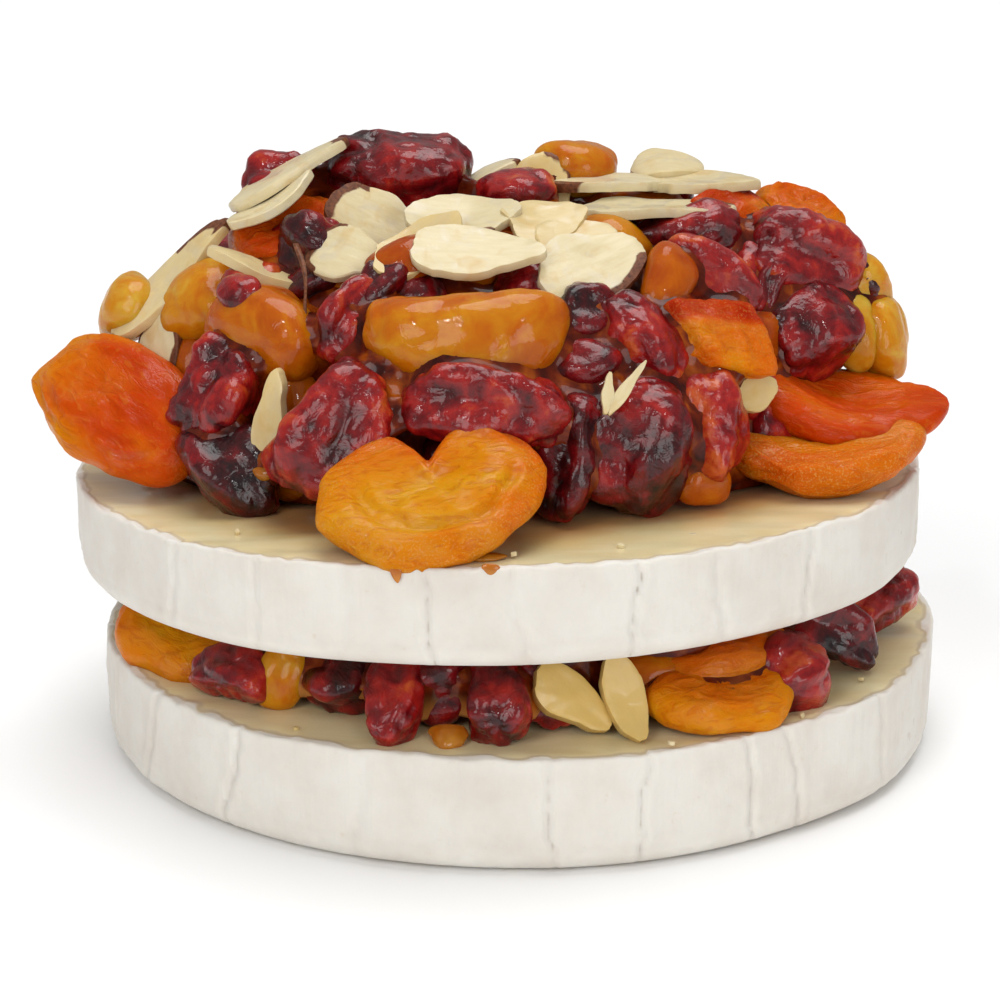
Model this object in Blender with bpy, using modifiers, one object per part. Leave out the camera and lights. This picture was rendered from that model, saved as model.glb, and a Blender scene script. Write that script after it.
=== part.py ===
"""A small brie wheel cut level in two, filled and topped with dried fruit and sliced almonds.

Metres, +Z up. The origin is the centre of the lower half's base, and -Y is the front.
"""
import math
import random

import bmesh
import bpy
from mathutils import Matrix, Vector

MM = 0.001
GAP = 0.35 * MM
FLAT_ENOUGH = math.radians(6.0)
SHARP_ANGLE = math.radians(50.0)

# Cheese: two discs with their cut faces up; the upper one rides a little high in front and to the right
WHEEL_RADIUS = 54.0 * MM
LOWER_HEIGHT = 14.0 * MM
UPPER_HEIGHT = 11.9 * MM
EDGE_ROUND = 2.7 * MM
CUT_EDGE = 0.5 * MM
WHEEL_SIDES = 56
UPPER_FACE_CENTRE = Vector((-2.8, -0.1, 34.9)) * MM
UPPER_TILT = (math.radians(-1.9), math.radians(-1.1), 0.0)
UPPER_TURN = math.radians(130.0)

# Heap on the upper half, and the layer of fruit between the halves
HEAP_HALF_SIZE = Vector((44.0, 33.0, 32.0)) * MM
HEAP_CENTRE = Vector((0.0, 4.0, 0.0)) * MM
HEAP_FULLNESS = 2.5
FILLING_RADIUS = 43.0 * MM
FILLING_SIDES = 28
FILLING_DEPTH = 16.0 * MM
FILLING_MIDDLE = LOWER_HEIGHT + 4.0 * MM

# How round each piece is made: sides about its axis, rings along it
HEAP_MESH = (16, 9)
BERRY_MESH = (10, 6)
SMALL_BERRY_MESH = (7, 5)
APRICOT_MESH = (16, 7)
SMALL_APRICOT_MESH = (9, 4)
CHUNK_MESH = (12, 7)
ALMOND_SIDES = 11
SMALL_ALMOND_SIDES = 8
ROOT_MESH = (5, 4)

# Shapes of the dried fruit
CRANBERRY_FOLDS = 4
CRANBERRY_FOLD_DEPTH = 0.12
RAISIN_FOLDS = 3
RAISIN_FOLD_DEPTH = 0.07
BLUNT_ENDS = 0.75
APRICOT_RIM = 0.6
APRICOT_DISH = 0.35
APRICOT_LOBES = 0.045
NOTCH_DEPTH = 0.50
NOTCH_WIDTH = 0.26
CHUNK_SIDES = 10
CHUNK_SHARPNESS = 9.0
ALMOND_TAPER = 0.22
ALMOND_CURL = 0.10

# Pieces on the upper half, in mm from the centre of its cut face, front pieces first: those behind are
# fitted to them. A row is name, centre, (length, width, thickness), (bearing, climb, spin) in degrees:
# bearing and climb aim the piece's thin axis (-90 is the front), spin turns its length up from level.
TOPPING = (
    ("almond_centre", (-1.9, -20.5, 29.4), (16, 8.5, 1.4), (-94, 58, -6)),
    ("almond_round", (12.2, -19.5, 27.6), (15, 10.5, 1.5), (-75, 48, 22)),
    ("almond_crumpled", (-3.6, -11.0, 32.4), (14, 9.5, 1.4), (-90, 62, 0)),
    ("almond_left_centre", (-8.8, -17.0, 29.8), (12.5, 7.5, 1.4), (-95, 50, 44)),
    ("almond_pair_a", (6.4, -12.0, 31.6), (11, 8.5, 1.4), (-85, 62, 12)),
    ("almond_oval", (-14.6, -6.0, 31.8), (12.5, 8.5, 1.4), (-80, 42, -32)),
    ("almond_sliver", (-26.8, -12.5, 26.2), (18, 4.5, 1.4), (-28, 71, -69)),
    ("almond_far_left", (-40.3, -4.5, 24.6), (20, 7.5, 1.4), (-143, 41, 68)),
    ("almond_top_left_long", (-25.6, 0.0, 37.0), (17, 8, 1.4), (-167, 63, 90)),
    ("almond_right_long", (21.0, -4.5, 32.4), (20, 8, 1.4), (-90, 85, 1)),
    ("almond_back_long", (14.0, 1.5, 35.0), (15.5, 7, 1.4), (-90, 84, -3)),
    ("almond_right_point", (26.6, 2.5, 34.6), (15.5, 7, 1.4), (-90, 84, 4)),
    ("almond_forked", (14.8, -36.4, 16.2), (8, 3.6, 1.4), (-85, 20, 57)),
    ("almond_front_stick", (-26.6, -29.0, 11.0), (13.5, 4, 1.6), (-115, 8, 84)),
    ("raisin_front", (-3.0, -27.5, 21.0), (24, 12.5, 12), (-93, 38, 0)),
    ("cranberry_front_mid", (-0.8, -34.0, 13.6), (19.5, 9.5, 9), (-91, 24, -7)),
    ("cranberry_front_big", (-18.8, -32.6, 10.8), (17, 13, 11), (-108, 18, 64)),
    ("cranberry_left_low", (-32.0, -25.5, 4.8), (15.5, 9, 8), (-126, 8, -30)),
    ("cranberry_left_mid", (-33.0, -21.0, 13.5), (13.5, 12, 10), (-130, 22, 70)),
    ("cranberry_front_right", (17.5, -32.0, 8.0), (16, 12.5, 10), (-72, 10, 72)),
    ("cranberry_front_dark", (8.6, -34.0, 7.2), (14.5, 7, 8), (-82, 8, 76)),
    ("cranberry_right_low", (25.2, -27.5, 9.5), (13.5, 9, 8), (-60, 14, 78)),
    ("apricot_front", (-7.2, -44.0, 5.9), (26.5, 21.5, 6.5), (-90, 61, 4)),
    ("apricot_left", (-46.8, -13.2, 10.3), (28, 16.5, 7.5), (-118, 42, -25)),
    ("apricot_right_high", (41.8, -12.5, 8.6), (28, 20, 6), (-42, 74, -48)),
    ("apricot_right_low", (40.5, -18.5, 3.9), (26, 20, 6.5), (-80, 86, -5)),
    ("apricot_chunk", (26.6, -21.8, 18.3), (14, 9.5, 8.5), (-64, 28, -8)),
    ("cranberry_right_mid", (17.2, -25.5, 20.0), (13, 8, 7.5), (-68, 34, -66)),
    ("raisin_left_mid", (-27.5, -19.0, 20.0), (17, 11.5, 10), (-125, 35, -15)),
    ("raisin_left_high", (-36.0, -8.0, 21.0), (13.5, 10.5, 9), (-135, 35, 32)),
    ("cranberry_left_high", (-22.0, -9.5, 28.3), (11.5, 8, 8), (-110, 52, -28)),
    ("apricot_top_left", (-25.2, -3.5, 29.2), (16, 13, 8), (-115, 45, 30)),
    ("cranberry_crown", (-12.0, 3.5, 35.8), (19, 13, 12), (-90, 60, -12)),
    ("raisin_crumpled", (20.8, -18.5, 25.5), (10.5, 7, 7), (-72, 42, 62)),
    ("cranberry_right_smooth", (27.2, -14.5, 25.5), (13, 6.5, 6.5), (-66, 42, -46)),
    ("cranberry_big_right_low", (38.8, -9.5, 16.8), (13.5, 11.5, 9.5), (-62, 24, 15)),
    ("cranberry_big_right_top", (38.8, -3.5, 26.0), (15.5, 11.5, 9.5), (-65, 35, -20)),
    ("cranberry_big_right_side", (33.2, -7.5, 22.6), (12.5, 9, 8), (-80, 32, 60)),
    ("cranberry_far_right", (44.6, -1.5, 23.8), (11, 7, 7), (-30, 30, -66)),
    ("raisin_far_right_low", (49.4, -2.5, 14.8), (11, 9, 7), (-25, 20, 60)),
    ("raisin_far_right_high", (47.2, -0.5, 21.6), (9.5, 6.5, 6), (-20, 28, -62)),
    ("raisin_far_left", (-46.6, -1.5, 19.8), (10, 8, 7), (-165, 28, 40)),
    ("cranberry_under_almond", (23.2, -5.5, 28.6), (15.5, 7.5, 7), (-90, 50, 8)),
    ("apricot_chunk_back", (31.2, -1.0, 28.4), (13, 11, 7), (-80, 48, 30)),
    ("apricot_back_right", (39.6, 5.5, 30.0), (12.5, 9, 5), (-60, 62, -6)),
)

# Small pieces that are one with the heap
TOPPING_SMALL = (
    ("almond_top_left_short", (-27.2, -5.0, 33.4), (12.5, 7, 1.4), (-160, 62, 85)),
    ("almond_curled", (-17.5, -15.5, 28.8), (11, 7.5, 1.4), (-105, 45, -15)),
    ("almond_pair_b", (10.0, -15.0, 29.8), (11, 8, 1.4), (-80, 58, 10)),
    ("almond_standing", (7.0, 1.5, 34.4), (9.5, 7, 1.4), (-90, 25, -65)),
    ("almond_back_oval", (22.6, 7.0, 36.4), (9.5, 8, 1.4), (-90, 72, 0)),
    ("almond_back_thin", (-0.2, 3.5, 35.8), (9, 5, 1.4), (-165, 66, 88)),
    ("almond_left_brown", (-41.6, -9.0, 16.2), (12.5, 7, 1.4), (-132, 20, -68)),
    ("almond_grey", (-10.4, -0.5, 33.2), (7.5, 5, 1.4), (-90, 30, 80)),
    ("almond_small_round", (31.2, -23.0, 12.8), (6.5, 5, 1.4), (-60, 20, 10)),
    ("almond_chip", (28.0, -6.0, 28.0), (6, 5, 1.4), (-80, 40, 50)),
    ("cranberry_peeking", (-17.5, -22.5, 22.0), (10, 6, 7), (-112, 38, 76)),
    ("cranberry_behind_raisin", (-13.5, -20.0, 25.0), (9, 7, 7), (-110, 45, 70)),
    ("cranberry_centre_dark", (10.0, -27.0, 17.0), (10, 8, 8), (-80, 30, 0)),
    ("cranberry_black", (11.0, -23.5, 22.0), (9, 7.5, 8), (-75, 40, 0)),
    ("cranberry_back_mid", (3.0, -1.0, 33.5), (10, 8, 8), (-90, 50, 0)),
    ("cranberry_scrap", (-30.0, -11.5, 23.5), (9, 6, 6), (-125, 40, -20)),
    ("cranberry_far_left", (-27.0, 5.0, 35.0), (10, 8.5, 8.5), (-120, 60, 0)),
    ("raisin_right_pale", (45.5, -4.5, 16.0), (10.5, 6, 6), (-45, 16, 80)),
    ("raisin_top_back", (11.0, 6.0, 36.4), (11, 8, 7), (-90, 60, -5)),
    ("raisin_right_low", (24.6, -29.5, 3.2), (7, 6, 5.5), (-62, 10, 0)),
    ("raisin_tan", (-11.0, -17.5, 28.0), (9, 6.5, 6), (-105, 50, 30)),
)

# Pieces between the halves, in mm from the origin, with rows as above
FILLING = (
    ("filling_almond_left", (5.8, -45.5, 17.9), (11, 5.5, 2.2), (-75, 30, -44)),
    ("filling_almond_right", (12.0, -45.5, 18.2), (10.5, 5, 2.2), (-78, 28, -82)),
    ("filling_cranberry_out_left", (-14.6, -44.5, 17.6), (12, 6.5, 6.5), (-60, 50, 60)),
    ("filling_cranberry_out_mid", (-3.0, -46.0, 18.3), (11.5, 8, 7.5), (-120, 52, -66)),
    ("filling_apricot_lower", (23.2, -41.5, 16.9), (18.5, 12, 5), (-75, 74, 10)),
    ("filling_apricot_upper", (22.0, -34.5, 20.2), (21.5, 13, 5.5), (-75, 72, 12)),
    ("filling_apricot_left", (-40.8, -20.5, 18.0), (23, 15, 6.5), (-130, 62, -6)),
    ("filling_cranberry_left", (-34.5, -34.0, 17.0), (11.5, 6.5, 6), (-130, 40, 4)),
    ("filling_cranberry_right", (31.2, -35.6, 17.6), (11, 8, 7.5), (-55, 40, 20)),
    ("filling_cranberry_dark_right", (38.4, -24.5, 18.6), (12.5, 7.5, 7), (-55, 45, -42)),
    ("filling_cranberry_far_right", (45.4, -10.5, 18.4), (13, 7.5, 7), (-62, 40, 20)),
)

# Small pieces that are one with the filling
FILLING_SMALL = (
    ("cranberry_dark_left", (-21.5, -37.5, 17.8), (10.5, 7.5, 7), (-115, 25, 5)),
    ("cranberry_dark_mid", (2.6, -42.5, 18.2), (9, 7.5, 7), (-88, 25, -50)),
    ("raisin_bit", (-28.2, -35.8, 17.6), (9, 6, 6), (-125, 20, 80)),
    ("cranberry_dark_centre", (-9.0, -41.5, 18.6), (9.5, 7.5, 7), (-100, 25, 10)),
    ("raisin_inner_right", (15.5, -39.0, 18.6), (9, 7, 7), (-70, 20, 0)),
    ("cranberry_dark_end", (-48.0, -3.0, 18.0), (9, 7, 6.5), (-175, 20, 10)),
)

# A small piece that lies above the heap's core rests on a berry that reaches it, in mm
ROOT_SIZE = (8.0, 6.0, 8.0)
ROOT_OVERLAP = 1.0
ROOT_KIND = "root_cranberry"

# The back of the heap and of the filling are filled by a seeded rule
BACK_PIECES = 18
BACK_BEARINGS = (8.0, 172.0)
BACK_CLIMBS = (8.0, 34.0, 60.0)
SIDE_PIECES = 10
SIDE_BEARINGS = (-5.0, 175.0)
SIDE_RADIUS = 42.5 * MM
BACK_KINDS = ("cranberry", "raisin", "cranberry", "apricot", "raisin", "almond")
SMALL_SIZES = {
    "cranberry": (12.0, 8.5, 8.0),
    "raisin": (13.0, 9.5, 8.5),
    "apricot": (17.0, 13.0, 7.0),
    "almond": (13.0, 8.5, 1.5),
}

# Colour, roughness
LOOKS = {
    "brie": ((0.86, 0.82, 0.72), 0.7),
    "cranberry": ((0.20, 0.010, 0.015), 0.25),
    "raisin": ((0.50, 0.19, 0.03), 0.25),
    "apricot": ((0.75, 0.22, 0.02), 0.35),
    "almond": ((0.80, 0.68, 0.42), 0.5),
    "mixed_fruit": ((0.30, 0.05, 0.02), 0.3),
}


def clear_scene():
    """Start from an empty scene."""
    for item in list(bpy.data.objects):
        bpy.data.objects.remove(item, do_unlink=True)


def new_collection(name):
    """A collection linked to the scene."""
    group = bpy.data.collections.new(name)
    bpy.context.scene.collection.children.link(group)
    return group


def material(kind):
    """The Principled material of one kind of food, made once."""
    if kind in bpy.data.materials:
        return bpy.data.materials[kind]
    colour, roughness = LOOKS[kind]
    made = bpy.data.materials.new(kind)
    made.use_nodes = True
    shader = made.node_tree.nodes["Principled BSDF"]
    shader.inputs["Base Color"].default_value = (*colour, 1.0)
    shader.inputs["Roughness"].default_value = roughness
    shader.inputs["Metallic"].default_value = 0.0
    return made


def add_object(name, mesh, group, kind, parent=None):
    """An object of the mesh in a collection, in the look of its kind."""
    made = bpy.data.objects.new(name, mesh)
    group.objects.link(made)
    made.parent = parent
    mesh.materials.clear()
    mesh.materials.append(material(kind))
    return made


def to_mesh(bm, name):
    """A mesh of the bmesh, which is freed."""
    mesh = bpy.data.meshes.new(name)
    bm.to_mesh(mesh)
    bm.free()
    return mesh


def ball(sides, rings):
    """A unit ball with its poles on Z."""
    bm = bmesh.new()
    bmesh.ops.create_uvsphere(bm, u_segments=sides, v_segments=rings, radius=1.0)
    return bm


def berry_form(size, folds, depth, grain, rng):
    """A shrunken berry: a ball drawn out along X, with folds that run along it."""
    bm = ball(*grain)
    length, width, thickness = size
    phase = rng.uniform(0.0, 2.0 * math.pi)
    twist = rng.uniform(-1.2, 1.2)
    bow = rng.uniform(-0.10, 0.10)
    for vert in bm.verts:
        x, y, along = vert.co
        angle = math.atan2(y, x)
        around = math.hypot(x, y) ** BLUNT_ENDS
        fold = 1.0 + depth * math.sin(folds * angle + twist * along + phase)
        fold += 0.5 * depth * math.sin((folds - 1) * angle - 2.0 * along + 1.7 * phase)
        swell = 1.0 + 0.10 * math.sin(2.0 * along + phase)
        reach = 0.5 * around * fold * swell
        bend = bow * width * (1.0 - 2.0 * along * along)
        across = width * reach * math.cos(angle) + bend
        vert.co = (0.5 * length * along, across, thickness * reach * math.sin(angle))
    return bm


def apricot_form(size, grain, rng, notch=0.0):
    """A dried apricot half: a bent disc with a puffed rim and a wavy outline; one with a notch lies flat."""
    bm = ball(*grain)
    length, width, thickness = size
    phase = rng.uniform(0.0, 2.0 * math.pi)
    bow = 0.0 if notch else rng.uniform(-0.12, 0.12)
    for vert in bm.verts:
        x, y, z = vert.co
        angle = math.atan2(y, x)
        reach = math.hypot(x, y) ** APRICOT_RIM
        outline = 1.0 + APRICOT_LOBES * math.sin(2.0 * angle + phase)
        outline += 0.6 * APRICOT_LOBES * math.sin(3.0 * angle + 2.0 * phase)
        outline -= notch * math.exp(-((angle - math.pi / 2.0) / NOTCH_WIDTH) ** 2)
        lift = 0.5 * thickness * z * (1.0 - APRICOT_DISH * (1.0 - reach))
        ripple = 0.10 * thickness * math.sin(3.0 * reach * math.cos(angle) + phase)
        bend = bow * width * (reach * math.cos(angle)) ** 2
        flat = 0.5 * reach * outline
        vert.co = (length * flat * math.cos(angle), width * flat * math.sin(angle), lift + ripple + bend)
    return bm


def chunk_form(size, grain, rng):
    """A cut chunk of dried apricot: a block with uneven flat sides and blunt edges."""
    sides = []
    for number in range(CHUNK_SIDES):
        facing = Vector((rng.uniform(-0.35, 0.35), rng.uniform(-0.35, 0.35), rng.uniform(-0.35, 0.35)))
        if number < 6:
            facing[number // 2] += 1.0 if number % 2 else -1.0
        sides.append((facing.normalized(), rng.uniform(0.80, 1.0)))
    bm = ball(*grain)
    for vert in bm.verts:
        press = sum(max(0.0, vert.co.dot(facing) / reach) ** CHUNK_SHARPNESS for facing, reach in sides)
        out = vert.co * press ** (-1.0 / CHUNK_SHARPNESS)
        vert.co = [0.5 * size[axis] * out[axis] for axis in range(3)]
    return bm


def almond_form(size, sides, rng):
    """A slice of almond: a thin curled plate, oval and drawn to a point at one end."""
    bm = ball(sides, 5)
    length, width, thickness = size
    curl = rng.uniform(-ALMOND_CURL, ALMOND_CURL)
    for vert in bm.verts:
        x, y, z = vert.co
        angle = math.atan2(y, x)
        reach = 1.0 if abs(z) < 0.5 else 0.62
        if abs(z) > 0.99:
            reach = 0.0
        along = reach * math.cos(angle)
        across = reach * math.sin(angle) * (1.0 - ALMOND_TAPER * math.cos(angle))
        level = math.copysign(0.5 * thickness, z)
        vert.co = (0.5 * length * along, 0.5 * width * across, level + curl * length * along * along)
    return bm


def kind_of(name):
    """The kind of food that a piece's name gives."""
    return next(word for word in name.split("_") if word in SMALL_SIZES)


def seed_of(name):
    """A random generator that depends on the name alone."""
    return random.Random(sum(ord(letter) * (place + 1) for place, letter in enumerate(name)))


def piece_form(name, size_mm, small):
    """The form of a named piece, in metres."""
    size = [value * MM for value in size_mm]
    kind = kind_of(name)
    rng = seed_of(name)
    if name.startswith(ROOT_KIND):
        return berry_form(size, CRANBERRY_FOLDS, CRANBERRY_FOLD_DEPTH, ROOT_MESH, rng)
    if kind == "cranberry":
        grain = SMALL_BERRY_MESH if small else BERRY_MESH
        return berry_form(size, CRANBERRY_FOLDS, CRANBERRY_FOLD_DEPTH, grain, rng)
    if kind == "raisin":
        grain = SMALL_BERRY_MESH if small else BERRY_MESH
        return berry_form(size, RAISIN_FOLDS, RAISIN_FOLD_DEPTH, grain, rng)
    if "chunk" in name:
        return chunk_form(size, CHUNK_MESH, rng)
    if kind == "apricot":
        notch = NOTCH_DEPTH if name == "apricot_front" else 0.0
        return apricot_form(size, SMALL_APRICOT_MESH if small else APRICOT_MESH, rng, notch)
    return almond_form(size, SMALL_ALMOND_SIDES if small else ALMOND_SIDES, rng)


def aim(bearing, climb, spin):
    """The rotation that points Z outward by bearing and climb, with X turned up from level by spin."""
    bearing, climb, spin = math.radians(bearing), math.radians(climb), math.radians(spin)
    ahead = Vector((math.cos(bearing), math.sin(bearing), 0.0))
    outward = math.cos(climb) * ahead + Vector((0.0, 0.0, math.sin(climb)))
    level = Vector((-math.sin(bearing), math.cos(bearing), 0.0))
    along = math.cos(spin) * level + math.sin(spin) * outward.cross(level)
    across = outward.cross(along)
    return Matrix((along, across, outward)).transposed()


def add_piece(row, group, parent, small=False):
    """One piece of fruit or almond, placed by its row."""
    name, centre, size, turn = row
    mesh = to_mesh(piece_form(name, size, small), name)
    piece = add_object(name, mesh, group, kind_of(name), parent)
    piece.location = Vector(centre) * MM
    piece.rotation_euler = aim(*turn).to_euler()
    return piece


def wheel_profile(height):
    """Half the section of a disc of cheese, from the middle of its cut face to that of its base."""
    corner = WHEEL_RADIUS - EDGE_ROUND
    points = [(0.0, height), (WHEEL_RADIUS - CUT_EDGE, height), (WHEEL_RADIUS, height - CUT_EDGE)]
    for step in range(3):
        angle = math.radians(45.0 * step)
        points.append((corner + EDGE_ROUND * math.cos(angle), EDGE_ROUND * (1.0 - math.sin(angle))))
    points.append((0.0, 0.0))
    return points


def turned_disc(name, profile):
    """A disc of cheese turned from its section, with the slight unevenness of a soft wheel."""
    bm = bmesh.new()
    verts = [bm.verts.new((radius, 0.0, height)) for radius, height in profile]
    for first, second in zip(verts, verts[1:]):
        bm.edges.new((first, second))
    lathe = bpy.data.objects.new(name, to_mesh(bm, name))
    bpy.context.scene.collection.objects.link(lathe)
    screw = lathe.modifiers.new("turn", "SCREW")
    screw.steps = WHEEL_SIDES
    screw.render_steps = WHEEL_SIDES
    screw.use_merge_vertices = True
    screw.merge_threshold = 0.01 * MM
    mesh = evaluated_mesh(lathe)
    bpy.data.objects.remove(lathe, do_unlink=True)
    for vert in mesh.vertices:
        angle = math.atan2(vert.co.y, vert.co.x)
        wobble = 1.0 + 0.004 * math.sin(3.0 * angle + 1.0) + 0.003 * math.sin(8.0 * angle)
        vert.co.x *= wobble
        vert.co.y *= wobble
    return mesh


def evaluated_mesh(item):
    """The object's mesh with its modifiers applied."""
    depsgraph = bpy.context.evaluated_depsgraph_get()
    return bpy.data.meshes.new_from_object(item.evaluated_get(depsgraph))


def swollen_copy(item, group, swell):
    """A copy of the object, swollen by a gap on every side, to cut its neighbours clear of it."""
    bm = bmesh.new()
    bm.from_mesh(item.data)
    bm.normal_update()
    steps = [vert.normal * min(vert.calc_shell_factor(), 2.0) * swell for vert in bm.verts]
    for vert, step in zip(bm.verts, steps):
        vert.co += step
    copy = add_object(item.name + "_clearance", to_mesh(bm, item.name), group, "brie", item.parent)
    copy.location = item.location
    copy.rotation_euler = item.rotation_euler
    copy.hide_render = True
    copy.display_type = "WIRE"
    return copy


def bounds(item):
    """The object's box in world space, as its least and greatest corner."""
    corners = [item.matrix_world @ Vector(corner) for corner in item.bound_box]
    least = [min(corner[axis] for corner in corners) for axis in range(3)]
    most = [max(corner[axis] for corner in corners) for axis in range(3)]
    return least, most


def near(first, second):
    """True where the boxes of two objects meet."""
    low, high = bounds(first)
    other_low, other_high = bounds(second)
    return all(low[axis] < other_high[axis] and other_low[axis] < high[axis] for axis in range(3))


def largest_body(bm):
    """Keep the body with the most faces, so that a scrap cut loose is dropped."""
    bodies = []
    unseen = set(bm.verts)
    while unseen:
        body = set()
        edge_of_search = [unseen.pop()]
        while edge_of_search:
            vert = edge_of_search.pop()
            body.add(vert)
            for edge in vert.link_edges:
                other = edge.other_vert(vert)
                if other in unseen:
                    unseen.remove(other)
                    edge_of_search.append(other)
        bodies.append(body)
    bodies.sort(key=len, reverse=True)
    for body in bodies[1:]:
        bmesh.ops.delete(bm, geom=list(body), context="VERTS")


def is_closed(mesh):
    """True where every edge of the mesh joins two faces."""
    bm = bmesh.new()
    bm.from_mesh(mesh)
    closed = len(bm.faces) > 3 and all(edge.is_manifold for edge in bm.edges)
    bm.free()
    return closed


def tidied(mesh):
    """The mesh as one closed body of triangles without slivers."""
    for least_edge, flat in ((0.4 * MM, FLAT_ENOUGH), (0.05 * MM, FLAT_ENOUGH), (0.01 * MM, 0.0)):
        bm = bmesh.new()
        bm.from_mesh(mesh)
        bmesh.ops.dissolve_limit(bm, angle_limit=flat, verts=bm.verts[:], edges=bm.edges[:])
        bmesh.ops.triangulate(bm, faces=bm.faces[:])
        bmesh.ops.dissolve_degenerate(bm, dist=least_edge, edges=bm.edges[:])
        bmesh.ops.triangulate(bm, faces=bm.faces[:])
        largest_body(bm)
        result = to_mesh(bm, mesh.name)
        if is_closed(result):
            return result
    return result


def combine(item, others, operation):
    """Apply one Boolean with a collection of other objects, and keep the result as the object's mesh."""
    if not others:
        return
    helpers = bpy.data.collections.new("helpers")
    for other in others:
        helpers.objects.link(other)
    modifier = item.modifiers.new("fit", "BOOLEAN")
    modifier.operation = operation
    modifier.operand_type = "COLLECTION"
    modifier.collection = helpers
    for solver in ("EXACT", "MANIFOLD"):
        modifier.solver = solver
        mesh = tidied(evaluated_mesh(item))
        if is_closed(mesh):
            break
    item.modifiers.remove(modifier)
    bpy.data.collections.remove(helpers)
    mesh.name = item.name
    mesh.materials.clear()
    mesh.materials.append(item.data.materials[0])
    item.data = mesh


def fit(item, clearances):
    """Cut the object clear of the neighbours that it would touch."""
    bpy.context.view_layer.update()
    combine(item, [other for other in clearances if near(item, other)], "DIFFERENCE")


def add_halves(parts, upper_frame):
    """The two halves of the wheel."""
    lower = add_object("lower_half", turned_disc("lower_half", wheel_profile(LOWER_HEIGHT)), parts, "brie")
    upper_mesh = turned_disc("upper_half", wheel_profile(UPPER_HEIGHT))
    upper = add_object("upper_half", upper_mesh, parts, "brie", upper_frame)
    upper.location = (0.0, 0.0, -UPPER_HEIGHT)
    upper.rotation_euler = (0.0, 0.0, UPPER_TURN)
    return lower, upper


def dome_point(outward, reach=1.0):
    """The point of the heap's full-bodied dome in that direction, or short of it by reach."""
    out = reach * sum(abs(value) ** HEAP_FULLNESS for value in outward) ** (-1.0 / HEAP_FULLNESS)
    return Vector([out * outward[axis] * HEAP_HALF_SIZE[axis] + HEAP_CENTRE[axis] for axis in range(3)])


def beyond_dome(point):
    """True for a point outside the heap's dome."""
    away = [(point[axis] - HEAP_CENTRE[axis]) / HEAP_HALF_SIZE[axis] for axis in range(3)]
    return sum(abs(value) ** HEAP_FULLNESS for value in away) > 1.0


def heap_core(parts, upper_frame):
    """The middle of the heap: a low dome on the cut face."""
    bm = ball(*HEAP_MESH)
    for vert in bm.verts:
        vert.co = dome_point(vert.co)
    base = Vector((0.0, 0.0, 2.0 * GAP))
    whole = bm.verts[:] + bm.edges[:] + bm.faces[:]
    cut = bmesh.ops.bisect_plane(bm, geom=whole, plane_co=base, plane_no=(0.0, 0.0, -1.0), clear_outer=True)
    rim = [item for item in cut["geom_cut"] if isinstance(item, bmesh.types.BMEdge)]
    bmesh.ops.edgeloop_fill(bm, edges=rim)
    bmesh.ops.recalc_face_normals(bm, faces=bm.faces[:])
    return add_object("topping_heap", to_mesh(bm, "topping_heap"), parts, "mixed_fruit", upper_frame)


def filling_core(parts):
    """The layer of fruit between the halves, as deep as the space there."""
    bm = bmesh.new()
    bmesh.ops.create_cone(
        bm, cap_ends=True, segments=FILLING_SIDES,
        radius1=FILLING_RADIUS, radius2=FILLING_RADIUS, depth=FILLING_DEPTH)
    for vert in bm.verts:
        angle = math.atan2(vert.co.y, vert.co.x)
        uneven = 1.0 + 0.02 * math.sin(5.0 * angle) + 0.02 * math.sin(11.0 * angle + 1.0)
        vert.co.x *= uneven
        vert.co.y *= uneven
    core = add_object("filling_layer", to_mesh(bm, "filling_layer"), parts, "mixed_fruit")
    core.location = (0.0, 0.0, FILLING_MIDDLE)
    return core


def back_rows():
    """Rows for the small pieces that cover the back of the heap."""
    rng = random.Random(7)
    rows = []
    for number in range(BACK_PIECES):
        tier = number % len(BACK_CLIMBS)
        share = (number + 0.5) / BACK_PIECES
        bearing = BACK_BEARINGS[0] + share * (BACK_BEARINGS[1] - BACK_BEARINGS[0]) + rng.uniform(-3.0, 3.0)
        climb = BACK_CLIMBS[tier] + rng.uniform(-4.0, 4.0)
        kind = BACK_KINDS[rng.randrange(len(BACK_KINDS))]
        reach = 1.03 if kind == "almond" else 0.99
        centre = dome_point(aim(bearing, climb, 0.0).col[2], reach) / MM
        centre.z = max(centre.z, 4.0)
        size = [value * rng.uniform(0.85, 1.15) for value in SMALL_SIZES[kind]]
        rows.append((f"back_{kind}_{number}", centre, size, (bearing, climb, rng.uniform(-80.0, 80.0))))
    return rows


def root_rows(rows):
    """Rows for the berries under the small pieces that would otherwise lie clear of the core."""
    roots = []
    for name, centre, size, turn in rows:
        outward = aim(*turn).col[2]
        back = Vector(centre) - (0.5 * size[2] - ROOT_OVERLAP) * outward
        if beyond_dome(back * MM):
            roots.append((f"{ROOT_KIND}_{name}", back - 0.5 * ROOT_SIZE[2] * outward, ROOT_SIZE, turn))
    return roots


def side_rows():
    """Rows for the small pieces that cover the side of the filling."""
    rng = random.Random(11)
    rows = []
    middle = FILLING_MIDDLE / MM
    for number in range(SIDE_PIECES):
        share = (number + 0.5) / SIDE_PIECES
        bearing = SIDE_BEARINGS[0] + share * (SIDE_BEARINGS[1] - SIDE_BEARINGS[0]) + rng.uniform(-3.0, 3.0)
        kind = BACK_KINDS[rng.randrange(len(BACK_KINDS) - 1)]
        angle = math.radians(bearing)
        reach = SIDE_RADIUS / MM + rng.uniform(-1.0, 1.5)
        centre = (reach * math.cos(angle), reach * math.sin(angle), middle + rng.uniform(-0.5, 1.0))
        size = [value * rng.uniform(0.8, 1.05) for value in SMALL_SIZES[kind]]
        rows.append((f"side_{kind}_{number}", centre, size, (bearing, 20.0, rng.uniform(-40.0, 40.0))))
    return rows


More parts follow.
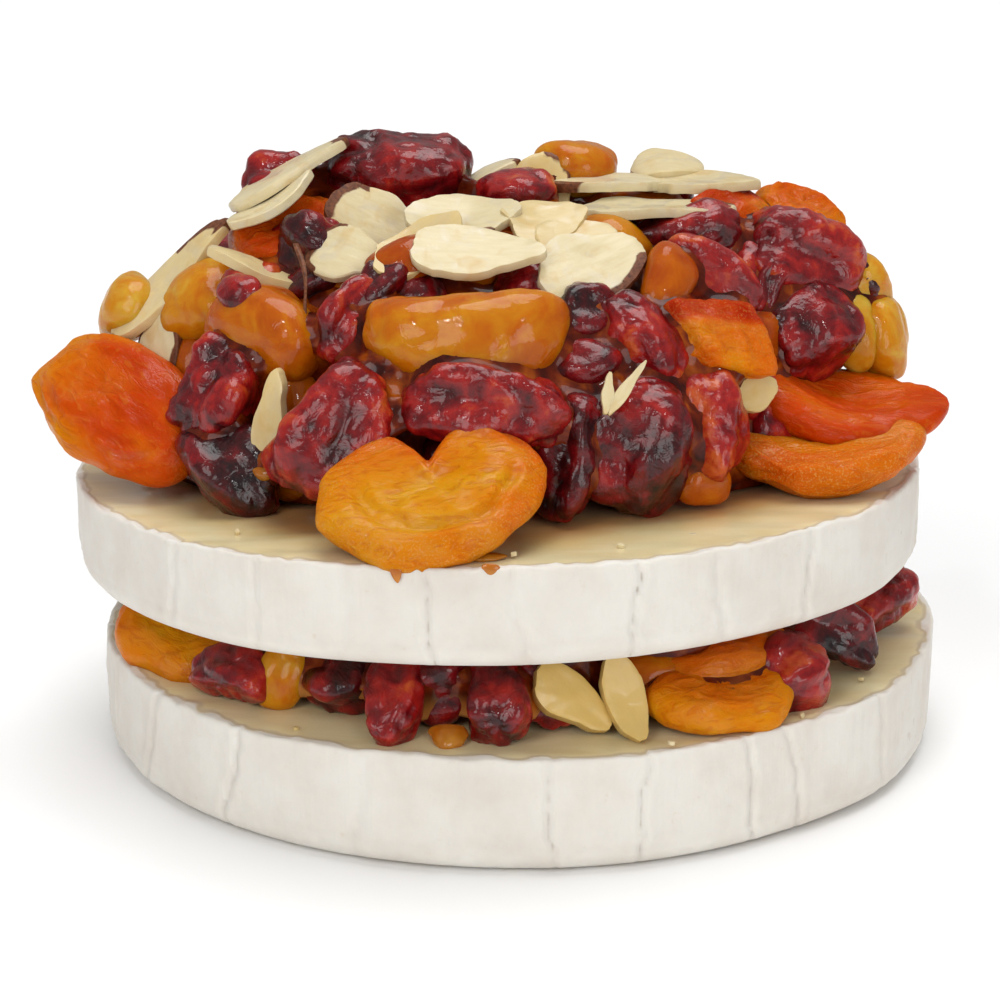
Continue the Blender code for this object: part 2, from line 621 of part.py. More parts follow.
def fit_in_turn(rows, parts, cutters, parent, clearances):
    """Add the pieces of the rows, each cut clear of the cheese and of the pieces before it."""
    for row in rows:
        piece = add_piece(row, parts, parent)
        before = list(clearances)
        clearances.append(swollen_copy(piece, cutters, GAP))
        fit(piece, before)


def fuse_small(core, rows, scratch, parent, clearances):
    """Join small pieces to their core, each cut clear of the separate pieces first."""
    small = []
    for row in rows:
        piece = add_piece(row, scratch, parent, small=True)
        fit(piece, clearances)
        small.append(piece)
    combine(core, [piece for piece in small if is_closed(piece.data)], "UNION")
    for piece in small:
        bpy.data.objects.remove(piece, do_unlink=True)


def finish(parts):
    """Shade the pieces smooth where they are round."""
    for item in parts.objects:
        if item.type == "MESH":
            item.data.shade_smooth()
            item.data.set_sharp_from_angle(angle=SHARP_ANGLE)


def build():
    """The whole wheel with its filling and topping."""
    clear_scene()
    parts = new_collection("brie_wheel")
    cutters = new_collection("cutters")
    upper_frame = bpy.data.objects.new("upper_frame", None)
    parts.objects.link(upper_frame)
    upper_frame.location = UPPER_FACE_CENTRE
    upper_frame.rotation_euler = UPPER_TILT
    lower, upper = add_halves(parts, upper_frame)
    bpy.context.view_layer.update()
    cheese = [swollen_copy(lower, cutters, GAP), swollen_copy(upper, cutters, GAP)]

    heap = heap_core(parts, upper_frame)
    heap_clearance = swollen_copy(heap, cutters, GAP)
    on_top = [cheese[1], heap_clearance]
    fit_in_turn(TOPPING, parts, cutters, upper_frame, on_top)
    on_top.remove(heap_clearance)
    small = [*TOPPING_SMALL, *root_rows(TOPPING_SMALL), *back_rows()]
    fuse_small(heap, small, parts, upper_frame, on_top)

    layer = filling_core(parts)
    fit(layer, cheese)
    layer_clearance = swollen_copy(layer, cutters, GAP)
    between = [*cheese, layer_clearance]
    fit_in_turn(FILLING, parts, cutters, None, between)
    between.remove(layer_clearance)
    fuse_small(layer, [*FILLING_SMALL, *side_rows()], parts, None, between)

    for helper in list(cutters.objects):
        bpy.data.objects.remove(helper, do_unlink=True)
    finish(parts)


build()
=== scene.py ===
"""The looks of a small brie wheel cut in two, filled and topped with dried fruit and sliced almonds."""
import math
import random

import bmesh
import bpy
import numpy as np
from mathutils import Euler, Matrix, Vector


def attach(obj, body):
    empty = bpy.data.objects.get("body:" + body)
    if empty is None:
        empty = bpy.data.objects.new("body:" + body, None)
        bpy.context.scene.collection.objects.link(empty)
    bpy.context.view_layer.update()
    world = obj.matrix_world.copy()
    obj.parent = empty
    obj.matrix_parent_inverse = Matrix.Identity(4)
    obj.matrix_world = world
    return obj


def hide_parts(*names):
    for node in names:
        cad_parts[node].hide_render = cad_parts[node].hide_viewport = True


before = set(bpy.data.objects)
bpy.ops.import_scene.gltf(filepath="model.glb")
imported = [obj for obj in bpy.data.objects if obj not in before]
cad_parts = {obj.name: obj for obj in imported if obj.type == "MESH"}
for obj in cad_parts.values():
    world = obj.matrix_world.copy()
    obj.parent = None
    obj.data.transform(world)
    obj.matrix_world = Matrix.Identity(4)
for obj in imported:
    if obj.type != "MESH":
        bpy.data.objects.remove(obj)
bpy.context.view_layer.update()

MM = 0.001

# The camera, placed as the photograph was taken
CAMERA_TARGET = Vector((-2.4, 0.0, 28.7)) * MM
CAMERA_DISTANCE = 340.0 * MM
CAMERA_RISE = math.radians(16.3)
CAMERA_LENS = 93.8
CAMERA_SENSOR = 36.0

# The cheese, with the sizes of the solids
WHEEL_RADIUS = 54.0
LOWER_HEIGHT = 14.0
UPPER_HEIGHT = 11.9
FILLING_MIDDLE = LOWER_HEIGHT + 4.0
EDGE_ROUND = 2.7
UPPER_FACE_CENTRE = Vector((-2.8, -0.1, 34.9))
UPPER_TILT = Euler((math.radians(-1.9), math.radians(-1.1), 0.0))
RIND_THICKNESS = 1.1

# The mesh of a half: its sides, the spacing of the rings on its side in mm, and the radii of the rings on
# its cut face and on its base
RIND_SIDES = 660
RIND_STEP = 0.36
PASTE_RINGS = (
    0.0, 8.0, 16.0, 24.0, 30.0, 34.0, 37.0, 39.5, 41.5, 43.5, 45.0, 46.5, 48.0, 49.2, 50.2, 51.0, 51.7, 52.3,
    52.7, 53.0, 53.3, 53.55, 53.8,
)
BASE_RINGS = (46.0, 30.0, 12.0, 0.0)
CORNER_STEPS = 8

# How far out the honey has stained the cut faces, in mm
LOWER_HONEY_REACH = 39.5
UPPER_HONEY_REACH = 43.5

# Creases in the rind: bearing in degrees, lean in mm over the height, depth and width in mm
UPPER_CREASES = (
    (-120.1, 0.6, 0.30, 0.9), (-98.1, -0.5, 0.55, 0.7), (-87.6, -1.0, 0.35, 0.9), (-73.3, 0.3, 0.60, 0.7),
    (-62.0, -0.8, 0.30, 1.2), (-134.0, 1.2, 0.25, 1.0), (-48.0, 0.8, 0.35, 0.9), (-108.5, 0.4, 0.18, 1.4),
)
LOWER_CREASES = (
    (-146.0, 2.4, 0.35, 1.0), (-128.6, 2.0, 0.40, 0.9), (-86.6, -0.6, 0.55, 0.7), (-75.0, 0.5, 0.50, 0.7),
    (-60.0, -0.7, 0.45, 0.8), (-53.0, -1.4, 0.40, 0.8), (-110.0, 1.0, 0.20, 1.5), (-98.0, 0.5, 0.22, 1.2),
    (-160.0, 1.4, 0.30, 1.0), (-36.0, -1.2, 0.30, 1.0),
)
BACK_CREASES = 11
BACK_CREASES_FROM = -25.0
BACK_CREASES_SPAN = 215.0

# The heap and the filling, with the sizes of the solids. The heap's middle is filled with small berries,
# and those under small pieces shrink a little, so that they stay hidden
HEAP_HALF_SIZE = (44.0, 33.0, 32.0)
HEAP_CENTRE = (0.0, 4.0, 0.0)
HEAP_FULLNESS = 2.5
FILLING_RADIUS = 43.0
HEAP_CORE_MESH = (160, 80)
HEAP_CORE_SHARE = 0.98
FILLING_CORE_MESH = (200, 40)
FILL_PIECES = 122
FILL_REACH = 0.95
FILL_BACK_REACH = 0.98
GOLDEN_ANGLE = 137.5
FILL_BACK_GROWTH = 1.25
FILL_SIZE = (10.0, 7.0, 6.5)
FILL_CLEARANCE = 5.0
ROOT_SHRINK = 0.8

# Honey: the voxels of its skin, the half width of the crevices it bridges, how far it lies under the crests,
# and between which heights over the cheese it turns from a pale pool, lightened as painted light, to a dark
# film
HONEY_VOXEL = 0.9
HONEY_REACH = 0.8
HONEY_DEPTH = 0.55
POOL_LOW = 1.2
POOL_TOP = 4.5
CLEAR_OF_HONEY = ("apricot_left", "apricot_front", "apricot_right_high", "apricot_right_low")

# Shapes of the dried fruit and of the almonds, as in the solids
CRANBERRY_FOLDS = 4
CRANBERRY_FOLD_DEPTH = 0.12
RAISIN_FOLDS = 3
RAISIN_FOLD_DEPTH = 0.07
BLUNT_ENDS = 0.75
APRICOT_RIM = 0.6
APRICOT_DISH = 0.35
APRICOT_LOBES = 0.045
NOTCH_DEPTH = 0.50
NOTCH_WIDTH = 0.26
CHUNK_SIDES = 10
CHUNK_SHARPNESS = 9.0
ALMOND_TAPER = 0.22
ALMOND_CURL = 0.10
SHARP_ANGLE = math.radians(32.0)

# Lumps, coarse folds, wrinkles and fine wrinkles of a berry: their sizes and their depths, in mm
WRINKLE_SIZES = (6.5, 3.8, 1.9, 0.9)
WRINKLES = {
    "cranberry": (0.80, 0.50, 0.24, 0.10),
    "smooth": (0.60, 0.40, 0.10, 0.04),
    "raisin": (0.45, 0.22, 0.08, 0.02),
}
SMOOTH = ("cranberry_left_low", "cranberry_right_smooth", "scrap_cranberry")

# How fine a form is, as sides about its axis and rings along it: separate pieces, small ones, hidden ones
FINE = {"cranberry": (76, 48), "raisin": (72, 46), "apricot": (112, 52), "almond": (80, 20)}
COARSE = {"cranberry": (44, 28), "raisin": (44, 28), "apricot": (56, 26), "almond": (48, 14)}
PLAIN = {"cranberry": (28, 18), "raisin": (28, 18)}

# Where the rows of a table are measured from: the middle of the upper half's cut face, or the origin
UPPER_PLACE = Matrix.Translation(UPPER_FACE_CENTRE) @ UPPER_TILT.to_matrix().to_4x4()
ORIGIN = Matrix.Identity(4)

# The studio: strength of the white sky, and soft suns as name, direction that they shine from, width in
# degrees and strength
SKY_STRENGTH = 0.33
SUNS = (
    ("top", (0.05, 0.15, 0.80), 44.0, 1.85),
    ("key", (-0.50, -0.80, 0.55), 30.0, 0.76),
    ("fill", (0.50, -0.95, 0.28), 30.0, 0.72),
    ("sparkle_left", (-0.35, -0.55, 0.75), 4.0, 0.16),
    ("sparkle_right", (0.30, -0.65, 0.70), 3.0, 0.10),
)
FLOOR_HALF_SIZE = 12.0

# Pieces on the upper half, in mm from the centre of its cut face, front pieces first: in the solids, those
# behind
# are fitted to them. A row is name, centre, (length, width, thickness), (bearing, climb, spin) in degrees:
# bearing and climb aim the piece's thin axis (-90 is the front), spin turns its length up from level.
TOPPING = (
    ("almond_centre", (-1.9, -20.5, 29.4), (16, 8.5, 1.4), (-94, 58, -6)),
    ("almond_round", (12.2, -19.5, 27.6), (15, 10.5, 1.5), (-75, 48, 22)),
    ("almond_crumpled", (-3.6, -11.0, 32.4), (14, 9.5, 1.4), (-90, 62, 0)),
    ("almond_left_centre", (-8.8, -17.0, 29.8), (12.5, 7.5, 1.4), (-95, 50, 44)),
    ("almond_pair_a", (6.4, -12.0, 31.6), (11, 8.5, 1.4), (-85, 62, 12)),
    ("almond_oval", (-14.6, -6.0, 31.8), (12.5, 8.5, 1.4), (-80, 42, -32)),
    ("almond_sliver", (-26.8, -12.5, 26.2), (18, 4.5, 1.4), (-28, 71, -69)),
    ("almond_far_left", (-40.3, -4.5, 24.6), (20, 7.5, 1.4), (-143, 41, 68)),
    ("almond_top_left_long", (-25.6, 0.0, 37.0), (17, 8, 1.4), (-167, 63, 90)),
    ("almond_right_long", (21.0, -4.5, 32.4), (20, 8, 1.4), (-90, 85, 1)),
    ("almond_back_long", (14.0, 1.5, 35.0), (15.5, 7, 1.4), (-90, 84, -3)),
    ("almond_right_point", (26.6, 2.5, 34.6), (15.5, 7, 1.4), (-90, 84, 4)),
    ("almond_forked", (14.8, -36.4, 16.2), (8, 3.6, 1.4), (-85, 20, 57)),
    ("almond_front_stick", (-26.6, -29.0, 11.0), (13.5, 4, 1.6), (-115, 8, 84)),
    ("raisin_front", (-3.0, -27.5, 21.0), (24, 12.5, 12), (-93, 38, 0)),
    ("cranberry_front_mid", (-0.8, -34.0, 13.6), (19.5, 9.5, 9), (-91, 24, -7)),
    ("cranberry_front_big", (-18.8, -32.6, 10.8), (17, 13, 11), (-108, 18, 64)),
    ("cranberry_left_low", (-32.0, -25.5, 4.8), (15.5, 9, 8), (-126, 8, -30)),
    ("cranberry_left_mid", (-33.0, -21.0, 13.5), (13.5, 12, 10), (-130, 22, 70)),
    ("cranberry_front_right", (17.5, -32.0, 8.0), (16, 12.5, 10), (-72, 10, 72)),
    ("cranberry_front_dark", (8.6, -34.0, 7.2), (14.5, 7, 8), (-82, 8, 76)),
    ("cranberry_right_low", (25.2, -27.5, 9.5), (13.5, 9, 8), (-60, 14, 78)),
    ("apricot_front", (-7.2, -44.0, 5.9), (26.5, 21.5, 6.5), (-90, 61, 4)),
    ("apricot_left", (-46.8, -13.2, 10.3), (28, 16.5, 7.5), (-118, 42, -25)),
    ("apricot_right_high", (41.8, -12.5, 8.6), (28, 20, 6), (-42, 74, -48)),
    ("apricot_right_low", (40.5, -18.5, 3.9), (26, 20, 6.5), (-80, 86, -5)),
    ("apricot_chunk", (26.6, -21.8, 18.3), (14, 9.5, 8.5), (-64, 28, -8)),
    ("cranberry_right_mid", (17.2, -25.5, 20.0), (13, 8, 7.5), (-68, 34, -66)),
    ("raisin_left_mid", (-27.5, -19.0, 20.0), (17, 11.5, 10), (-125, 35, -15)),
    ("raisin_left_high", (-36.0, -8.0, 21.0), (13.5, 10.5, 9), (-135, 35, 32)),
    ("cranberry_left_high", (-22.0, -9.5, 28.3), (11.5, 8, 8), (-110, 52, -28)),
    ("apricot_top_left", (-25.2, -3.5, 29.2), (16, 13, 8), (-115, 45, 30)),
    ("cranberry_crown", (-12.0, 3.5, 35.8), (19, 13, 12), (-90, 60, -12)),
    ("raisin_crumpled", (20.8, -18.5, 25.5), (10.5, 7, 7), (-72, 42, 62)),
    ("cranberry_right_smooth", (27.2, -14.5, 25.5), (13, 6.5, 6.5), (-66, 42, -46)),
    ("cranberry_big_right_low", (38.8, -9.5, 16.8), (13.5, 11.5, 9.5), (-62, 24, 15)),
    ("cranberry_big_right_top", (38.8, -3.5, 26.0), (15.5, 11.5, 9.5), (-65, 35, -20)),
    ("cranberry_big_right_side", (33.2, -7.5, 22.6), (12.5, 9, 8), (-80, 32, 60)),
    ("cranberry_far_right", (44.6, -1.5, 23.8), (11, 7, 7), (-30, 30, -66)),
    ("raisin_far_right_low", (49.4, -2.5, 14.8), (11, 9, 7), (-25, 20, 60)),
    ("raisin_far_right_high", (47.2, -0.5, 21.6), (9.5, 6.5, 6), (-20, 28, -62)),
    ("raisin_far_left", (-46.6, -1.5, 19.8), (10, 8, 7), (-165, 28, 40)),
    ("cranberry_under_almond", (23.2, -5.5, 28.6), (15.5, 7.5, 7), (-90, 50, 8)),
    ("apricot_chunk_back", (31.2, -1.0, 28.4), (13, 11, 7), (-80, 48, 30)),
    ("apricot_back_right", (39.6, 5.5, 30.0), (12.5, 9, 5), (-60, 62, -6)),
)

# Small pieces that are one with the heap
TOPPING_SMALL = (
    ("almond_top_left_short", (-27.2, -5.0, 33.4), (12.5, 7, 1.4), (-160, 62, 85)),
    ("almond_curled", (-17.5, -15.5, 28.8), (11, 7.5, 1.4), (-105, 45, -15)),
    ("almond_pair_b", (10.0, -15.0, 29.8), (11, 8, 1.4), (-80, 58, 10)),
    ("almond_standing", (7.0, 1.5, 34.4), (9.5, 7, 1.4), (-90, 25, -65)),
    ("almond_back_oval", (22.6, 7.0, 36.4), (9.5, 8, 1.4), (-90, 72, 0)),
    ("almond_back_thin", (-0.2, 3.5, 35.8), (9, 5, 1.4), (-165, 66, 88)),
    ("almond_left_brown", (-41.6, -9.0, 16.2), (12.5, 7, 1.4), (-132, 20, -68)),
    ("almond_grey", (-10.4, -0.5, 33.2), (7.5, 5, 1.4), (-90, 30, 80)),
    ("almond_small_round", (31.2, -23.0, 12.8), (6.5, 5, 1.4), (-60, 20, 10)),
    ("almond_chip", (28.0, -6.0, 28.0), (6, 5, 1.4), (-80, 40, 50)),
    ("cranberry_peeking", (-17.5, -22.5, 22.0), (10, 6, 7), (-112, 38, 76)),
    ("cranberry_behind_raisin", (-13.5, -20.0, 25.0), (9, 7, 7), (-110, 45, 70)),
    ("cranberry_centre_dark", (10.0, -27.0, 17.0), (10, 8, 8), (-80, 30, 0)),
    ("cranberry_black", (11.0, -23.5, 22.0), (9, 7.5, 8), (-75, 40, 0)),
    ("cranberry_back_mid", (3.0, -1.0, 33.5), (10, 8, 8), (-90, 50, 0)),
    ("cranberry_scrap", (-30.0, -11.5, 23.5), (9, 6, 6), (-125, 40, -20)),
    ("cranberry_far_left", (-27.0, 5.0, 35.0), (10, 8.5, 8.5), (-120, 60, 0)),
    ("raisin_right_pale", (45.5, -4.5, 16.0), (10.5, 6, 6), (-45, 16, 80)),
    ("raisin_top_back", (11.0, 6.0, 36.4), (11, 8, 7), (-90, 60, -5)),
    ("raisin_right_low", (24.6, -29.5, 3.2), (7, 6, 5.5), (-62, 10, 0)),
    ("raisin_tan", (-11.0, -17.5, 28.0), (9, 6.5, 6), (-105, 50, 30)),
)

# Pieces between the halves, in mm from the origin, with rows as above
FILLING = (
    ("filling_almond_left", (5.8, -45.5, 17.9), (11, 5.5, 2.2), (-75, 30, -44)),
    ("filling_almond_right", (12.0, -45.5, 18.2), (10.5, 5, 2.2), (-78, 28, -82)),
    ("filling_cranberry_out_left", (-14.6, -44.5, 17.6), (12, 6.5, 6.5), (-60, 50, 60)),
    ("filling_cranberry_out_mid", (-3.0, -46.0, 18.3), (11.5, 8, 7.5), (-120, 52, -66)),
    ("filling_apricot_lower", (23.2, -41.5, 16.9), (18.5, 12, 5), (-75, 74, 10)),
    ("filling_apricot_upper", (22.0, -34.5, 20.2), (21.5, 13, 5.5), (-75, 72, 12)),
    ("filling_apricot_left", (-40.8, -20.5, 18.0), (23, 15, 6.5), (-130, 62, -6)),
    ("filling_cranberry_left", (-34.5, -34.0, 17.0), (11.5, 6.5, 6), (-130, 40, 4)),
    ("filling_cranberry_right", (31.2, -35.6, 17.6), (11, 8, 7.5), (-55, 40, 20)),
    ("filling_cranberry_dark_right", (38.4, -24.5, 18.6), (12.5, 7.5, 7), (-55, 45, -42)),
    ("filling_cranberry_far_right", (45.4, -10.5, 18.4), (13, 7.5, 7), (-62, 40, 20)),
)

# Small pieces that are one with the filling
FILLING_SMALL = (
    ("cranberry_dark_left", (-21.5, -37.5, 17.8), (10.5, 7.5, 7), (-115, 25, 5)),
    ("cranberry_dark_mid", (2.6, -42.5, 18.2), (9, 7.5, 7), (-88, 25, -50)),
    ("raisin_bit", (-28.2, -35.8, 17.6), (9, 6, 6), (-125, 20, 80)),
    ("cranberry_dark_centre", (-9.0, -41.5, 18.6), (9.5, 7.5, 7), (-100, 25, 10)),
    ("raisin_inner_right", (15.5, -39.0, 18.6), (9, 7, 7), (-70, 20, 0)),
    ("cranberry_dark_end", (-48.0, -3.0, 18.0), (9, 7, 6.5), (-175, 20, 10)),
)

# A small piece that lies above the heap's core rests on a berry that reaches it, in mm
ROOT_SIZE = (8.0, 6.0, 8.0)
ROOT_OVERLAP = 1.0
ROOT_KIND = "root_cranberry"

# The back of the heap and of the filling are filled by a seeded rule
BACK_PIECES = 18
BACK_BEARINGS = (8.0, 172.0)
BACK_CLIMBS = (8.0, 34.0, 60.0)
SIDE_PIECES = 10
SIDE_BEARINGS = (-5.0, 175.0)
SIDE_RADIUS = 42.5
BACK_KINDS = ("cranberry", "raisin", "cranberry", "apricot", "raisin", "almond")
SMALL_SIZES = {
    "cranberry": (12.0, 8.5, 8.0),
    "raisin": (13.0, 9.5, 8.5),
    "apricot": (17.0, 13.0, 7.0),
    "almond": (13.0, 8.5, 1.5),
}

# How bright a piece is within its kind, from 0, dark, to 1, light; an almond is yellow at 1. The pieces
# that aren't named here have theirs drawn by a seeded rule
TONES = {
    "cranberry_left_low": 0.0, "cranberry_front_dark": 0.15, "cranberry_black": 0.0,
    "cranberry_centre_dark": 0.1, "cranberry_left_high": 0.1, "cranberry_right_low": 0.75,
    "cranberry_front_big": 0.5, "cranberry_front_mid": 0.42, "cranberry_left_mid": 0.45,
    "cranberry_front_right": 0.35, "cranberry_peeking": 0.6, "cranberry_crown": 0.28,
    "cranberry_right_mid": 0.5, "cranberry_right_smooth": 0.6, "cranberry_big_right_top": 0.55,
    "cranberry_big_right_low": 0.3, "cranberry_under_almond": 0.2, "raisin_front": 0.6,
    "raisin_left_mid": 0.45, "raisin_left_high": 0.78, "raisin_crumpled": 0.3,
    "raisin_far_right_low": 0.9, "raisin_far_right_high": 0.9, "raisin_right_pale": 0.95,
    "raisin_far_left": 0.95, "raisin_tan": 0.2, "scrap_cranberry": 0.2, "raisin_right_low": 0.4,
    "apricot_left": 0.31, "apricot_front": 0.86, "apricot_right_high": 0.36, "apricot_right_low": 0.57,
    "apricot_chunk": 0.5, "apricot_top_left": 0.25, "apricot_chunk_back": 0.5,
    "apricot_back_right": 0.4, "filling_almond_left": 1.0, "filling_almond_right": 0.95,
    "almond_front_stick": 0.72, "almond_sliver": 0.66, "almond_far_left": 0.66, "almond_centre": 0.2,
    "almond_round": 0.2, "almond_oval": 0.5, "almond_right_long": 0.2, "almond_top_left_long": 0.2,
    "almond_top_left_short": 0.2, "filling_apricot_left": 0.85, "filling_apricot_upper": 0.4,
    "filling_apricot_lower": 0.45, "filling_cranberry_left": 0.5, "filling_cranberry_out_left": 0.35,
    "filling_cranberry_out_mid": 0.4, "filling_cranberry_right": 0.5,
    "filling_cranberry_dark_right": 0.15, "filling_cranberry_far_right": 0.75,
}

# How much lighter an apricot is at its rim, towards its top and towards its end, and how sugary its skin is
# The change towards the top is painted light and shade: the front apricot's darker top is the painted shadow
# of the berry over it.
APRICOT_LOOKS = {
    "apricot_front": (-0.20, -0.40, -0.10, 0.1), "apricot_left": (0.26, -0.10, -0.26, 0.0),
    "apricot_right_high": (-0.15, 0.1, 0.05, 0.0), "apricot_right_low": (-0.05, -0.15, 0.0, 1.0),
    "filling_apricot_left": (-0.2, 0.0, 0.0, 0.1), "apricot_back_right": (0.2, 0.0, 0.0, 0.0),
    "apricot_chunk": (0.0, 0.0, 0.0, 0.4), "apricot_chunk_back": (0.0, 0.0, 0.0, 0.2),
}

# Brown skin left on the rim of an almond: from and to, in degrees round the slice from its pointed end
ALMOND_SKINS = {
    "almond_far_left": (-20, 75), "almond_round": (-150, -20), "almond_oval": (120, 215),
    "almond_curled": (110, 235), "almond_top_left_long": (-30, 15), "almond_crumpled": (-110, -60),
    "almond_back_thin": (-40, 40), "almond_left_brown": (-180, 180), "almond_chip": (-60, 200),
    "almond_right_long": (10, 50), "almond_back_long": (160, 250), "almond_pair_b": (-120, -80),
    "almond_standing": (60, 160),
}

# The smallest things. Rows are as above. Crumbs are spots, and drops are centre, size and turn: the high
# ones are measured from the upper half's cut face, and the low ones from the origin
SCRAP = ("scrap_cranberry", (-30.6, -18.6, 25.4), (6.5, 2.8, 1.1), (-118, 45, -25))
STALK_FROM = (-23.8, -15.5, 30.4)
STALK_TO = (-21.6, -23.6, 21.2)
STALK_STEPS = 14
STALK_SIDES = 8
STALK_RADIUS = 0.34
CRUMB_SIZE = (1.05, 0.80, 0.60)
CRUMB_MESH = {"almond": (20, 10)}
CRUMBS_HIGH = (
    (-24.0, -22.6, 21.8), (14.0, -46.5, 0.3), (22.5, -41.0, 0.3), (-30.0, -37.5, 0.3), (2.0, -50.0, 0.3),
)
CRUMBS_LOW = ((41.5, -28.5, 14.4), (33.0, -40.5, 14.3), (-26.0, -44.5, 14.3), (17.0, -50.0, 14.3))
DROPS_HIGH = (
    ((-11.0, -53.3, -0.5), (1.3, 2.4, 0.5), (-101, 4, 8)),
    ((-0.6, -53.7, -0.2), (2.0, 1.4, 0.6), (-91, 6, -6)),
    ((-1.4, -50.4, 0.3), (5.0, 2.4, 0.9), (-90, 88, 0)),
    ((-27.3, -30.6, 5.4), (3.0, 1.7, 1.5), (-115, 8, 0)),
)
DROPS_LOW = (((-8.3, -48.6, 14.7), (4.4, 4.2, 2.2), (-98, 75, 0)),)


def noise(points, size, seed=0):
    """Smooth noise from -1 to 1 at points in mm, with features of the given size."""
    cells = points / size + 137.0
    base = np.floor(cells).astype(np.int64)
    part = cells - base
    blend = part * part * (3.0 - 2.0 * part)
    total = np.zeros(len(points))
    for corner in np.ndindex(2, 2, 2):
        key = base + np.array(corner)
        mixed = (key[:, 0] * 73856093) ^ (key[:, 1] * 19349663) ^ (key[:, 2] * 83492791) ^ (seed * 97531 + 7)
        mixed = ((mixed & 0xFFFFFF) ^ ((mixed & 0xFFFFFF) >> 11)) * 1274126177 & 0xFFFFFFFF
        value = ((mixed ^ (mixed >> 15)) & 0xFFFF) / 32767.5 - 1.0
        weight = np.prod(np.where(corner, blend, 1.0 - blend), axis=1)
        total += value * weight
    return total


def ridges(points, size, seed=0):
    """Sharp-crested folds from 0 to 1 at points in mm."""
    return 1.0 - np.abs(noise(points, size, seed)) * 2.0


def smoothstep(low, high, value):
    """0 below low, 1 above high, and smooth between."""
    share = np.clip((value - low) / (high - low), 0.0, 1.0)
    return share * share * (3.0 - 2.0 * share)


class Form:
    """Points and faces of one piece in mm, with what its material reads: grain, tone and mark."""

    def __init__(self, points, faces, tone=0.5, mark=None):
        self.points = points
        self.faces = faces
        self.grain = points.copy()
        self.tone = np.full(len(points), tone)
        self.mark = np.zeros(len(points)) if mark is None else mark


def ball(sides, rings):
    """A unit ball with its poles on Z: points, faces, angles round the axis and angles from the pole."""
    bm = bmesh.new()
    bmesh.ops.create_uvsphere(bm, u_segments=sides, v_segments=rings, radius=1.0)
    points = np.array([vert.co for vert in bm.verts])
    faces = [[vert.index for vert in face.verts] for face in bm.faces]
    bm.free()
    around = np.arctan2(points[:, 1], points[:, 0])
    return points, faces, around, np.arccos(np.clip(points[:, 2], -1.0, 1.0))


def berry_form(size, folds, depth, grain, rng, wrinkle, tone):
    """A shrunken berry: the solid's form with skin folds and fine wrinkles, most of them along it."""
    unit, faces, angle, _ = ball(*grain)
    length, width, thickness = size
    phase = rng.uniform(0.0, 2.0 * math.pi)
    twist = rng.uniform(-1.2, 1.2)
    bow = rng.uniform(-0.10, 0.10)
    along = unit[:, 2]
    around = np.hypot(unit[:, 0], unit[:, 1]) ** BLUNT_ENDS
    fold = 1.0 + depth * np.sin(folds * angle + twist * along + phase)
    fold += 0.5 * depth * np.sin((folds - 1) * angle - 2.0 * along + 1.7 * phase)
    swell = 1.0 + 0.10 * np.sin(2.0 * along + phase)
    reach = 0.5 * around * fold * swell
    bend = bow * width * (1.0 - 2.0 * along * along)
    across = width * reach * np.cos(angle) + bend
    points = np.stack((0.5 * length * along, across, thickness * reach * np.sin(angle)), axis=1)
    seed = rng.randrange(1000)
    drawn = points * np.array((0.55, 1.0, 1.0))
    warp = 1.6 * np.stack([noise(points, 4.0, seed + number) for number in range(3)], axis=1)
    lump, coarse, middle, fine = wrinkle
    lump_size, coarse_size, middle_size, fine_size = WRINKLE_SIZES
    coarse_folds = coarse * (0.5 - ridges(drawn + warp, coarse_size, seed + 6))
    lift = lump * noise(points, lump_size, seed + 5) + coarse_folds
    small_folds = middle * (0.45 - ridges(points + 0.6 * warp, middle_size, seed + 7))
    lift += small_folds + fine * (0.5 - ridges(drawn, fine_size, seed + 8))
    pits = noise(points, 1.5, seed + 9)
    lift -= 1.6 * fine * smoothstep(0.35, 0.75, pits)
    points = points + outward(points, size) * lift[:, None]
    # The mark is the height of the skin: the cranberry and raisin materials paint its folds with shade and
    # its crests with light.
    return Form(points, faces, tone, np.clip(0.5 + lift, 0.0, 1.0))


def outward(points, size):
    """Directions straight out of a rounded piece of that size."""
    away = points / np.array(size) ** 2
    return away / np.maximum(np.linalg.norm(away, axis=1), 1e-9)[:, None]


